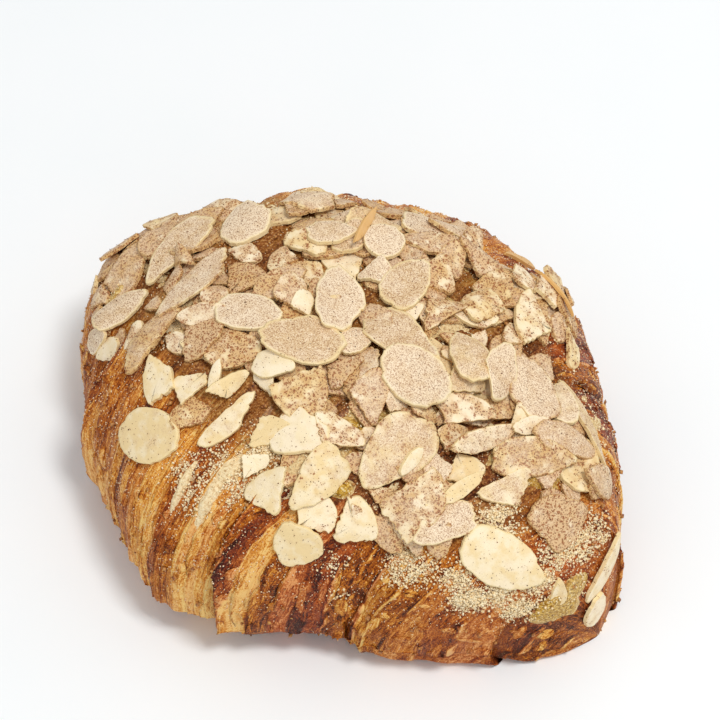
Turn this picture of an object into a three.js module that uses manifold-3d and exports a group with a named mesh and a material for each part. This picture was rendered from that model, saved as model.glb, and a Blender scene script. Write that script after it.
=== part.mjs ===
// An almond croissant: one rolled and stepped loaf of laminated dough, flat underneath, with
// sliced almonds baked on to its upper side. Millimetres, +Z up. The roll runs along X, the
// origin is on the table under the middle, and -Y is the side where the bare crust shows.
import * as THREE from "three";
import { mergeVertices } from "three/addons/utils/BufferGeometryUtils.js";
import Module from "manifold-3d";

// Driving dimensions of the loaf.
const LENGTH = 142;
const WIDTH = 114;
const HEIGHT = 53.5;
const BELLY_SHARE = 0.2; // height of the widest line, as a share of the section's height
const BASE_SHARE = 0.84; // half width of the flat base, as a share of the section's half width
const TUCK_TURN = 0.35; // share of the lower quarter turn that the rounded tuck takes
const SECTION_POWER = 0.77; // 1 is an ellipse, less is boxier
const END_HEIGHT_SHARE = 0.35; // height of the blunt ends
const END_ROUNDING = 12; // larger is blunter
const SWAY = 5.5; // sideways drift of the middle line from one end to the other, each way
const CENTRING = -0.87; // sideways shift that sets the middle of the outline over the origin

// How the loaf narrows towards each end: share = (1 - |s| ** power) ** root.
const TAPER = {
  left: { power: 1.47, root: 0.66, spiral: -0.24 },
  right: { power: 1.6, root: 0.7, spiral: 0.24 },
};
const HEIGHT_POWER = 2.5;
const HEIGHT_ROOT = 0.62;
const SPIRAL_POWER = 0.8;

// The dough's turns along the roll, from end to end: how far each swells on the near and far side.
const TURN_SWELLS = [
  { near: 0.9, far: 4.4 },
  { near: 1.0, far: 3.0 },
  { near: -1.4, far: 1.4 },
  { near: 2.8, far: 0.4 },
  { near: 2.4, far: 3.7 },
];

// The edges where one turn lies over the next: at is the place along the roll from -1 to 1, skew
// its drift towards the far side, foot its drift to the near side's foot, facing the way that the
// edge looks, drop its depth, and lip what the upper turn stands out there.
const TURN_EDGES = [
  { at: -0.585, skew: 0.02, foot: 0, facing: -1, drop: 5.8, lip: 2.8 },
  { at: 0.18, skew: 0, foot: 0.06, facing: -1, drop: 1.2, lip: 4.6 },
  { at: 0.51, skew: -0.03, foot: -0.06, facing: 1, drop: 7.2, lip: -4.6 },
  { at: 0.88, skew: 0.06, foot: -0.01, facing: 1, drop: 2.6, lip: -1.2 },
];
const EDGE_WIDTH = 1.6; // length of the fall at an edge
const EDGE_REACH = 9; // how far on the lower turn has swelled out again
const LIP_REACH = 11;
const EDGE_ON_TOP = 0.4; // share of an edge's depth that is left on top of the loaf
const EDGE_AT_FOOT = 1.5; // and at the foot
const FOOT_FROM = 0.9; // turn from the top on the near side at which the drift to the foot begins

// Ridges of the laminated layers, which follow the turns.
const RIDGE_HEIGHT = 0.6;
const RIDGE_PITCH = 6.2;
const RIDGE_WANDER = 1.8;
const WANDER_WAVES = [
  { share: 1, over: 2.3, along: 5 },
  { share: 0.6, over: 4.1, along: -9 },
];
const UNEVENNESS = 0.9; // height of the slow swells of the whole crust
const UNEVEN_WAVES = [
  { over: 3.2, along: 4.4 },
  { over: -1.3, along: 6.1 },
];
const RELIEF_ROOM = 12; // radius under which the relief fades out, at the two ends

// Facets.
const RINGS_PER_TURN = 11; // on a turn of the usual span
const USUAL_SPAN = 0.4;
const MIN_RINGS = 5;
const UPPER_STEPS = 26;
const TUCK_STEPS = 2;
const BASE_STEPS = 3;

const WELD = 1e-4; // corners closer than this are one

// Sliced almonds.
const FLAKE_COUNT = 84;
const FLAKE_LENGTH = [11.5, 18.5];
const FLAKE_ASPECT = [0.55, 0.8];
const FLAKE_THICKNESS = 1.3;
const FLAKE_SIDES = 8;
const FLAKE_POINT = 0.28; // how much narrower the pointed end is
const FLAKE_SUNK = 0.45; // share of the thickness that lies in the dough
const FLAKE_LEAN = THREE.MathUtils.degToRad(13);
const FLAKE_SPACING = 0.62; // least distance between centres, as a share of a flake's length
const FLAKED_ALONG = [-0.93, 0.9];
const FLAKED_AROUND = [THREE.MathUtils.degToRad(38), THREE.MathUtils.degToRad(136)];
const FLAKE_EDGE_ROOM = 0.06; // least distance along the roll from an edge between turns
const FLAKE_TRIES = 6000;
const NORMAL_STEP = RIDGE_PITCH / LENGTH; // step for finding which way is out, level over a ridge
const SEED = 20;

const CRUST = new THREE.MeshStandardMaterial({ color: 0xb0743a, roughness: 0.55, metalness: 0 });

const wasm = await Module();
wasm.setup();

// A seeded stream of numbers from 0 to 1, so that the part is the same each time.
function randomStream(seed) {
  let state = seed >>> 0;
  return () => {
    state = (state + 0x6d2b79f5) >>> 0;
    let mixed = Math.imul(state ^ (state >>> 15), state | 1);
    mixed ^= mixed + Math.imul(mixed ^ (mixed >>> 7), mixed | 61);
    return ((mixed ^ (mixed >>> 14)) >>> 0) / 4294967296;
  };
}

const within = ([low, high], share) => low + (high - low) * share;

// How far the surface stands out of the smooth loaf at s along the roll. The angle over the roll
// is a quarter turn on the far side, 0 on top and a quarter turn back on the near side, and the
// tuck goes from 0 at the widest line to 1 at the base.
function relief(s, over, tuck) {
  const farness = (1 + Math.sin(over)) / 2;
  const sideDepth = EDGE_ON_TOP + (1 - EDGE_ON_TOP) * Math.sin(over) ** 2;
  const depth = sideDepth + (EDGE_AT_FOOT - 1) * tuck;
  const low = Math.max(0, -over - FOOT_FROM) / (Math.PI / 2 - FOOT_FROM) + tuck * (1 - farness);
  const places = TURN_EDGES.map(
    ({ at, skew, foot }) => at + (skew * over) / (Math.PI / 2) + foot * low,
  );
  const bounds = [-1, ...places, 1];
  let out = 0;
  TURN_SWELLS.forEach(({ near, far }, turn) => {
    const share = (s - bounds[turn]) / (bounds[turn + 1] - bounds[turn]);
    const swell = near + (far - near) * farness;
    if (share > 0 && share < 1) out += swell * Math.sqrt(4 * share * (1 - share));
  });
  TURN_EDGES.forEach(({ facing, drop, lip }, edge) => {
    const past = (s - places[edge]) * facing * (LENGTH / 2);
    const fall = THREE.MathUtils.smoothstep(past, 0, EDGE_WIDTH);
    out -= depth * drop * fall * Math.exp(-Math.max(past, 0) / EDGE_REACH);
    out += depth * lip * (1 - fall) * Math.exp(Math.min(past, 0) / LIP_REACH);
  });
  const along = (s * LENGTH) / 2;
  const phase = (wave) => wave.over * over + wave.along * s;
  const drift = WANDER_WAVES.reduce((sum, wave) => sum + wave.share * Math.sin(phase(wave)), 0);
  const line = along + RIDGE_WANDER * drift;
  out += RIDGE_HEIGHT * Math.sin((2 * Math.PI * line) / RIDGE_PITCH);
  out += UNEVENNESS * Math.sin(phase(UNEVEN_WAVES[0])) * Math.cos(phase(UNEVEN_WAVES[1]));
  return out;
}

// The point of the crust at s along the roll, from -1 to 1, and at an angle round it: 0 is the
// far side, a quarter turn is the top, a half turn is the near side, and beyond that the base.
function crustPoint(s, angle) {
  const end = s > 0 ? TAPER.right : TAPER.left;
  const reach = Math.abs(s);
  const narrow = Math.max(0, 1 - reach ** end.power) ** end.root;
  const fall = Math.max(0, 1 - reach ** HEIGHT_POWER) ** HEIGHT_ROOT;
  const blunt = Math.sqrt(Math.min(1, (1 - reach) * END_ROUNDING));
  const half = (WIDTH / 2) * narrow;
  const height = HEIGHT * (END_HEIGHT_SHARE * blunt + (1 - END_HEIGHT_SHARE) * fall);
  const belly = BELLY_SHARE * height;
  const turn = Math.PI / 2 - (angle > 1.5 * Math.PI ? angle - 2 * Math.PI : angle);
  const upper = Math.max(-Math.PI / 2, Math.min(Math.PI / 2, turn));
  const side = Math.sign(Math.cos(angle)) || 1;

  let across = half * side * Math.abs(Math.cos(angle)) ** SECTION_POWER;
  let up = belly + (height - belly) * Math.abs(Math.sin(angle)) ** SECTION_POWER;
  let tuck = 0;
  let flat = 0;
  if (Math.sin(angle) < 0) {
    const below = Math.asin(Math.min(1, -Math.sin(angle))) / (Math.PI / 2);
    tuck = Math.min(1, below / TUCK_TURN);
    flat = Math.max(0, below - TUCK_TURN) / (1 - TUCK_TURN);
    across = half * side * (1 - (1 - BASE_SHARE) * tuck ** 2) * (1 - flat);
    up = belly * Math.cos((tuck * Math.PI) / 2) * (tuck < 1 ? 1 : 0);
  }
  const radius = Math.hypot(across, up - belly) || 1;
  const room = Math.min(1, radius / RELIEF_ROOM);
  const swell = 1 + (room * relief(s, upper, tuck)) / radius;
  across *= swell;
  if (up > belly) up = belly + (up - belly) * swell;

  const spiral = end.spiral * reach ** SPIRAL_POWER * half * narrow * (1 - reach ** 4);
  const along = (LENGTH / 2) * s + (spiral * upper * (1 - flat)) / (Math.PI / 2);
  return new THREE.Vector3(along, across + SWAY * s + CENTRING, up);
}

// The outward direction of the crust, from two short steps along it.
function crustNormal(s, angle) {
  const step = NORMAL_STEP;
  const along = crustPoint(s + step, angle).sub(crustPoint(s - step, angle));
  const around = crustPoint(s, angle + step).sub(crustPoint(s, angle - step));
  return around.cross(along).normalize();
}

// Places of the rings along the roll: closer together at the edges of the turns and at the ends.
function ringPlaces() {
  const bounds = [-1, ...TURN_EDGES.map((edge) => edge.at), 1];
  const places = [];
  for (let turn = 0; turn + 1 < bounds.length; turn += 1) {
    const span = bounds[turn + 1] - bounds[turn];
    const count = Math.max(MIN_RINGS, Math.round(RINGS_PER_TURN * Math.sqrt(span / USUAL_SPAN)));
    for (let ring = 0; ring < count; ring += 1) {
      places.push(bounds[turn] + (span * (1 - Math.cos((Math.PI * ring) / count))) / 2);
    }
  }
  return places.slice(1);
}

// Angles of a ring's corners, from the far side over the top to the near side, then the base.
function ringAngles() {
  const angles = [];
  for (let step = 0; step < UPPER_STEPS; step += 1) {
    angles.push((Math.PI * step) / UPPER_STEPS);
  }
  const tuck = (TUCK_TURN * Math.PI) / 2;
  const flat = Math.PI / 2 - tuck;
  const below = [];
  for (let step = 0; step < TUCK_STEPS; step += 1) below.push((tuck * step) / TUCK_STEPS);
  for (let step = 0; step < BASE_STEPS; step += 1) below.push(tuck + (flat * step) / BASE_STEPS);
  const near = below.map((turn) => Math.PI + turn);
  const far = below.slice(1).map((turn) => 2 * Math.PI - turn);
  return [...angles, ...near, 1.5 * Math.PI, ...far.reverse()];
}

// The loaf as one closed skin: rings along the roll, and a point at each end.
function loafGeometry() {
  const places = ringPlaces();
  const angles = ringAngles();
  const corners = [];
  for (const s of places) {
    for (const angle of angles) corners.push(...crustPoint(s, angle).toArray());
  }
  const count = angles.length;
  const leftEnd = corners.length / 3;
  corners.push(...crustPoint(-1, Math.PI / 2).toArray());
  corners.push(...crustPoint(1, Math.PI / 2).toArray());
  const faces = [];
  for (let around = 0; around < count; around += 1) {
    const next = (around + 1) % count;
    const last = (places.length - 1) * count;
    faces.push(leftEnd, next, around);
    faces.push(leftEnd + 1, last + around, last + next);
    for (let ring = 0; ring + 1 < places.length; ring += 1) {
      const [a, b] = [ring * count + around, ring * count + next];
      faces.push(a, b, a + count, b, b + count, a + count);
    }
  }
  const geometry = new THREE.BufferGeometry();
  geometry.setAttribute("position", new THREE.Float32BufferAttribute(corners, 3));
  geometry.setIndex(faces);
  return geometry;
}

// One slice of almond, lying flat with its middle at the origin: blunt at one end, pointed at
// the other.
function flakeGeometry(length, width) {
  const outline = [];
  for (let side = 0; side < FLAKE_SIDES; side += 1) {
    const angle = (2 * Math.PI * side) / FLAKE_SIDES;
    const narrowed = 1 - FLAKE_POINT * Math.cos(angle);
    const x = (length / 2) * Math.cos(angle);
    outline.push(new THREE.Vector2(x, (width / 2) * Math.sin(angle) * narrowed));
  }
  const options = { depth: FLAKE_THICKNESS, bevelEnabled: false };
  const geometry = new THREE.ExtrudeGeometry(new THREE.Shape(outline), options);
  return geometry.translate(0, 0, -FLAKE_THICKNESS * FLAKE_SUNK);
}

// The almonds, the largest first, each laid on the crust with a small lean and kept a little
// apart from those already there.
function flakeGeometries() {
  const random = randomStream(SEED);
  const laid = [];
  const flakes = [];
  for (let attempt = 0; attempt < FLAKE_TRIES && flakes.length < FLAKE_COUNT; attempt += 1) {
    const length = within([...FLAKE_LENGTH].reverse(), flakes.length / FLAKE_COUNT);
    const s = within(FLAKED_ALONG, random());
    const angle = within(FLAKED_AROUND, random());
    const aspect = within(FLAKE_ASPECT, random());
    const heading = 2 * Math.PI * random();
    const lean = FLAKE_LEAN * (2 * random() - 1);
    const place = crustPoint(s, angle);
    const spacing = FLAKE_SPACING * length;
    if (TURN_EDGES.some(({ at }) => Math.abs(s - at) < FLAKE_EDGE_ROOM)) continue;
    if (laid.some((other) => other.distanceTo(place) < spacing)) continue;
    laid.push(place);
    const upright = new THREE.Vector3(0, 0, 1);
    const settle = new THREE.Quaternion().setFromUnitVectors(upright, crustNormal(s, angle));
    const spin = new THREE.Quaternion().setFromAxisAngle(upright, heading);
    const tip = new THREE.Quaternion().setFromAxisAngle(new THREE.Vector3(0, 1, 0), lean);
    const pose = new THREE.Matrix4().makeRotationFromQuaternion(
      settle.multiply(spin).multiply(tip),
    );
    pose.setPosition(place);
    flakes.push(flakeGeometry(length, length * aspect).applyMatrix4(pose));
  }
  return flakes;
}

// A closed geometry as a solid that can be joined to others.
function solidOf(geometry) {
  const bare = new THREE.BufferGeometry();
  bare.setAttribute("position", geometry.getAttribute("position"));
  if (geometry.index) bare.setIndex(geometry.index);
  const merged = mergeVertices(bare, WELD);
  return new wasm.Manifold(
    new wasm.Mesh({
      numProp: 3,
      vertProperties: new Float32Array(merged.getAttribute("position").array),
      triVerts: new Uint32Array(merged.index.array),
    }),
  );
}

// The loaf with its almonds fused on, as one piece: sealed hollows are filled and scraps dropped.
function fused(loaf, flakes) {
  const joined = flakes.reduce((whole, flake) => whole.add(solidOf(flake)), solidOf(loaf));
  const pieces = joined.decompose().sort((a, b) => b.volume() - a.volume());
  const { vertProperties, triVerts } = pieces[0].getMesh();
  const geometry = new THREE.BufferGeometry();
  geometry.setAttribute("position", new THREE.BufferAttribute(vertProperties, 3));
  geometry.setIndex(new THREE.BufferAttribute(triVerts, 1));
  geometry.computeVertexNormals();
  return geometry;
}

const croissant = new THREE.Mesh(fused(loafGeometry(), flakeGeometries()), CRUST);
croissant.name = "croissant";

const part = new THREE.Group();
part.add(croissant);

export default part;
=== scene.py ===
"""The looks of an almond croissant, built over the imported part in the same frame.

The crust repeats the part's own formula, so that its turns lie where the solid has them, and adds
the dough's layers and fibres. Sliced almonds are laid on it one by one, each on what is already
there. Almond cream, loose layers of crust, sugar, spice and crumbs are pieces of their own.
Sizes are millimetres until a mesh is made, which is in metres.
"""

import math

import bpy
import numpy as np
from mathutils import Matrix, Vector
from mathutils.bvhtree import BVHTree


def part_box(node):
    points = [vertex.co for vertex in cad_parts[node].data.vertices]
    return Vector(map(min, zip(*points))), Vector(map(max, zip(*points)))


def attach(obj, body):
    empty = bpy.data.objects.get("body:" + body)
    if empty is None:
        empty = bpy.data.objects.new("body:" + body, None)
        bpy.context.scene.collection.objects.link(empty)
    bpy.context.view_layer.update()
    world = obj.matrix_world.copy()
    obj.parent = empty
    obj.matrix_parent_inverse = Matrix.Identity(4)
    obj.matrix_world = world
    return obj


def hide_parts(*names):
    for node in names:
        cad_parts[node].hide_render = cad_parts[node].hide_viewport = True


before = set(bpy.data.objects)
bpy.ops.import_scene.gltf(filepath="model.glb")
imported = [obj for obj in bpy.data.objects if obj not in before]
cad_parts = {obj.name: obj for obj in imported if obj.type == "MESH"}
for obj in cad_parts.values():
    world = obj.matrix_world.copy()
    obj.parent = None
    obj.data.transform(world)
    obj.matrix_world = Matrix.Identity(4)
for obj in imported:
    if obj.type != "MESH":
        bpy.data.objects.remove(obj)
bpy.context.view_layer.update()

MM = 0.001
NODE = "croissant"
BODY = "root"
SEED = 20

# The loaf, as in the part.
LOW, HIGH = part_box(NODE)
LENGTH = (HIGH.x - LOW.x) / MM
HALF_LENGTH = LENGTH / 2
WIDTH = 114
HEIGHT = 53.5
BELLY_SHARE = 0.2
BASE_SHARE = 0.84
TUCK_TURN = 0.35
SECTION_POWER = 0.77
END_HEIGHT_SHARE = 0.35
END_ROUNDING = 12
SWAY = 5.5
CENTRING = -0.87
TAPER_LEFT = {"power": 1.47, "root": 0.66, "spiral": -0.24}
TAPER_RIGHT = {"power": 1.6, "root": 0.7, "spiral": 0.24}
HEIGHT_POWER = 2.5
HEIGHT_ROOT = 0.62
SPIRAL_POWER = 0.8
RELIEF_ROOM = 12
QUARTER = math.pi / 2
ROUND_RADIUS = 50  # turns an angle round the roll into a length

# The dough's turns: how far each swells on the near and the far side.
TURN_SWELLS = ((0.9, 4.4), (1.0, 3.0), (-1.4, 1.4), (2.8, 0.4), (2.4, 3.7))
# The edges between the turns: place, drift to the far side, drift to the near foot, facing, drop, lip.
TURN_EDGES = (
    (-0.585, 0.02, 0.0, -1, 5.8, 2.8),
    (0.18, 0.0, 0.06, -1, 1.2, 4.6),
    (0.51, -0.03, -0.06, 1, 7.2, -4.6),
    (0.88, 0.06, -0.01, 1, 2.6, -1.2),
)
EDGE_WIDTH = 1.6
EDGE_REACH = 9
LIP_REACH = 11
EDGE_ON_TOP = 0.4
EDGE_AT_FOOT = 1.5
FOOT_FROM = 0.9  # turn from the top on the near side at which the drift to the foot begins
EDGE_RAGGED = 1.1  # how far a torn edge strays along the roll
EDGE_OVERHANG = 2.2  # how far an upper turn hangs over the lower one
OVERHANG_REACH = 3.0
RIDGE_HEIGHT = 0.3  # softer than in the part, since the layers lie over them
RIDGE_PITCH = 6.2
RIDGE_WANDER = 1.8
WANDER_WAVES = ((1.0, 2.3, 5.0), (0.6, 4.1, -9.0))  # share, waves over and along the roll
UNEVENNESS = 0.9
UNEVEN_WAVES = ((3.2, 4.4), (-1.3, 6.1))

# The dough's layers and fibres. From the left end on, from each place: breadth of a layer, how
# strongly the layers show, and how uneven their breadth is.
LAYERS = ((-1.0, 2.6, 0.6, 0.9), (0.19, 2.9, 1.1, 0.5), (0.53, 4.8, 1.3, 0.3))
BREADTH, STRENGTH, UNEVEN = 1, 2, 3  # columns of that table
LAYER_NUMBERS_RIGHT = 50  # the layers on the right turns are numbered from here
LAYER_TONE_SEED = 936  # with these seeds dark and red layers fall about where the photograph has them
LAYER_RED_SEED = 184
LAYER_HEIGHT = 0.9
LAYER_WANDER = 3.2
RIGHT_TURNS = (0.5, 0.6)  # places over which the right turns begin
LAYER_LEAN = 0.14  # drift along the roll for each step around it, on the right turns
LEAN_ANGLE = 2.5  # angle round the roll at which a leaning layer keeps its place
BROAD_LAYERS_AT = LAYERS[-1][0]  # the layers are broadest to the right of this place
LAYERS_FACE_LEFT_RIGHT = (0.28, 0.46)  # they step down to the left before, and to the right after
# The lowest layer juts out at the foot of the right turns, with a groove over it.
FOOT_RIM = 1.6
FOOT_RIM_AT = 0.85  # share of the way from the widest line to the base
FOOT_GROOVE_AT = 0.4
FOOT_GROOVE_SHARE = 0.6  # its depth, as a share of the rim
FOOT_RIM_WIDTH = 0.16
CREVICE_SHADE_REACH = 3.2  # how far from a turn's edge the painted shade in its fold reaches
FIBRE_HEIGHT = 0.16
BLISTER_HEIGHT = 0.35
CRUST_RINGS = 620
CRUST_UPPER_STEPS = 118
CRUST_TUCK_STEPS = 10
CRUST_BASE_STEPS = 5
END_CROWDING = 0.7
ROLL_LIMIT = 0.995  # rays and slices keep this side of the tips
UPPER_ANGLES = (0.05, 3.09)  # and slices keep to these angles round the roll
UPPER_GRID = (300, 240)  # steps along and around, for finding what a ray meets

# The camera of the photograph, whose frame is 720 pixels square.
FRAME_PIXELS = 720
VIEW_AZIMUTH = math.radians(42)
VIEW_ELEVATION = math.radians(56)
VIEW_DISTANCE = 650
PIXELS_PER_MM = 4.4
AIM = np.array((0.0, CENTRING, 20.0))
AIM_PIXEL = (346.5, 425.0)
SENSOR = 36.0
BACK = np.array(
    (
        math.sin(VIEW_AZIMUTH) * math.cos(VIEW_ELEVATION),
        -math.cos(VIEW_AZIMUTH) * math.cos(VIEW_ELEVATION),
        math.sin(VIEW_ELEVATION),
    )
)
RIGHT = np.array((math.cos(VIEW_AZIMUTH), math.sin(VIEW_AZIMUTH), 0.0))
UP = np.cross(BACK, RIGHT)
AWAY = np.array((-math.sin(VIEW_AZIMUTH), math.cos(VIEW_AZIMUTH), 0.0))
FOCAL_PIXELS = PIXELS_PER_MM * VIEW_DISTANCE
CENTRE = AIM + (
    RIGHT * (FRAME_PIXELS / 2 - AIM_PIXEL[0]) + UP * (AIM_PIXEL[1] - FRAME_PIXELS / 2)
) / PIXELS_PER_MM
EYE = CENTRE + BACK * VIEW_DISTANCE

# Sliced almonds.
FLAKE_SIDES = 48
FLAKE_RINGS = (0.5, 0.94, 1.0)
FLAKE_JAGGED = 0.016  # random unevenness of the rim, as a share of its reach
CUT_JAGGED = 0.05  # and of a broken edge
FLAKE_THICKNESS = 0.95
FLAKE_THICKER = (0.75, 1.2)  # random share of that thickness
FLAKE_EDGE = 0.86  # thickness at the rim, as a share
FLAKE_FACE = 0.97  # the rings inside this share of the rim are the face
FLAKE_STEEPEST = math.tan(math.radians(17))  # greatest slope against the crust below
# How a slice lies: random slope, how far it gives way to the curve under it, and the share of its
# footprint that lies below it.
BEDDING = (0.06, 0.7, 0.82)
FLAKE_WAVE = 0.22
FLAKE_HOLLOW = 0.004  # greatest upward bend of a slice
FLAKE_GIVE = 2.5  # how far it gives way at most
STAND_LIFT = 0.35  # how far a slice on its edge stands out, as a share of its width
# Waves round a slice's rim: how many, and how high.
FLAKE_RIM_WAVES = ((2, 0.04), (3, 0.035), (5, 0.026), (9, 0.014))
ROUND_WAVES = 0.4  # share of those waves on a round slice
# How pointed each shape is, and how many straight breaks it has at least.
FLAKE_POINTS = {
    "almond": 0.34, "broken": 0.2, "shard": 0.2, "round": 0.06, "sliver": 0.1, "toasted": 0.1,
}
FEWEST_CUTS = {"almond": 0, "broken": 1, "shard": 2}
SLIVER_POWER = 0.35  # thins the ends of a sliver
NICK_DEPTH = (0.02, 0.09)  # nicks in the rim, as a share of its reach
NICK_WIDTH = (0.08, 0.2)  # as an angle
BED_CELL = 0.5
BED_DEEPEST = 7.0
COVER_SHARES = (0.08, 1, 14)  # rings of a slice that raise the bed: innermost, outermost, count
CLEAR_ALONG = 3.0  # loose layers keep this far from the slices
CLEAR_AROUND = 6.0
# Sine of the angle round the roll, from where the crust is bare to where almonds cover it.
ALMONDS_FROM_TO = (0.78, 0.92)
PASTE_ENDS = (0.68, 0.84)  # places, either way, over which the paste under them thins out
# How far down the near side the almonds reach, by place along the roll.
NEAR_LIMIT_PLACES = (-0.95, -0.6, -0.45, -0.25, 0.0, 0.2, 0.4, 0.6, 0.9)
NEAR_LIMIT_DEGREES = (138, 136, 122, 108, 114, 126, 134, 130, 124)
# And down the far side.
FAR_LIMIT_PLACES = (-0.95, -0.7, 0.3, 0.5, 0.9)
FAR_LIMIT_DEGREES = (50, 38, 36, 62, 74)
# Slices strewn under those that show, and on the far side. Their middles keep the spacing, and none
# is strewn where slices already lie deeper than the deepest.
UNDER = {
    "count": 220,
    "spacing": 4.8,
    "deepest": 1.3,
    "lengths": (6, 13),
    "bedding": (0.1, 0.7, 0.82),
    "dusts": (0.0, 0.4),
    "spices": (0.2, 1.0),
}
HIDDEN = {
    "count": 130,
    "spacing": 5.5,
    "deepest": 0.1,
    "lengths": (8, 13),
    "bedding": (0.05, 0.95, 0.7),
    "dusts": (0.0, 0.7),
    "spices": (0.0, 1.0),
}
STREWN_WITHIN = (-0.88, 0.9)  # places along the roll
STREWN_TRIES = 60  # places drawn for each slice, at most
STREWN_WIDTH = (0.5, 0.8)  # as a share of the length
UNDER_MARGIN = 0.12  # how far inside the near limit they lie, as an angle
# How far a place faces the camera of the photograph: 1 fully, 0 on the skyline.
SEEN_WELL = 0.36
TURNED_AWAY = -0.18
STREWN_SHAPES = ("almond", "almond", "broken", "broken", "shard", "shard")
# Spots that show bare crust between the slices: pixel across and down, reach, how much darker.
BARE_SPOTS = (
    (505, 256, 7, 0.45), (465, 290, 3, 0.3), (262, 256, 6, 0.25), (372, 318, 5, 0.2),
    (240, 408, 7, 0.0), (195, 440, 9, 0.0), (500, 515, 9, 0.1), (590, 540, 8, 0.1),
    (560, 560, 7, 0.0), (455, 455, 5, 0.2), (545, 378, 5, 0.2), (130, 300, 5, 0.1),
    (343, 489, 2.5, 0.0), (612, 450, 5, 0.0), (606, 402, 4, 0.0), (92, 385, 7, 0.0),
)

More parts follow.
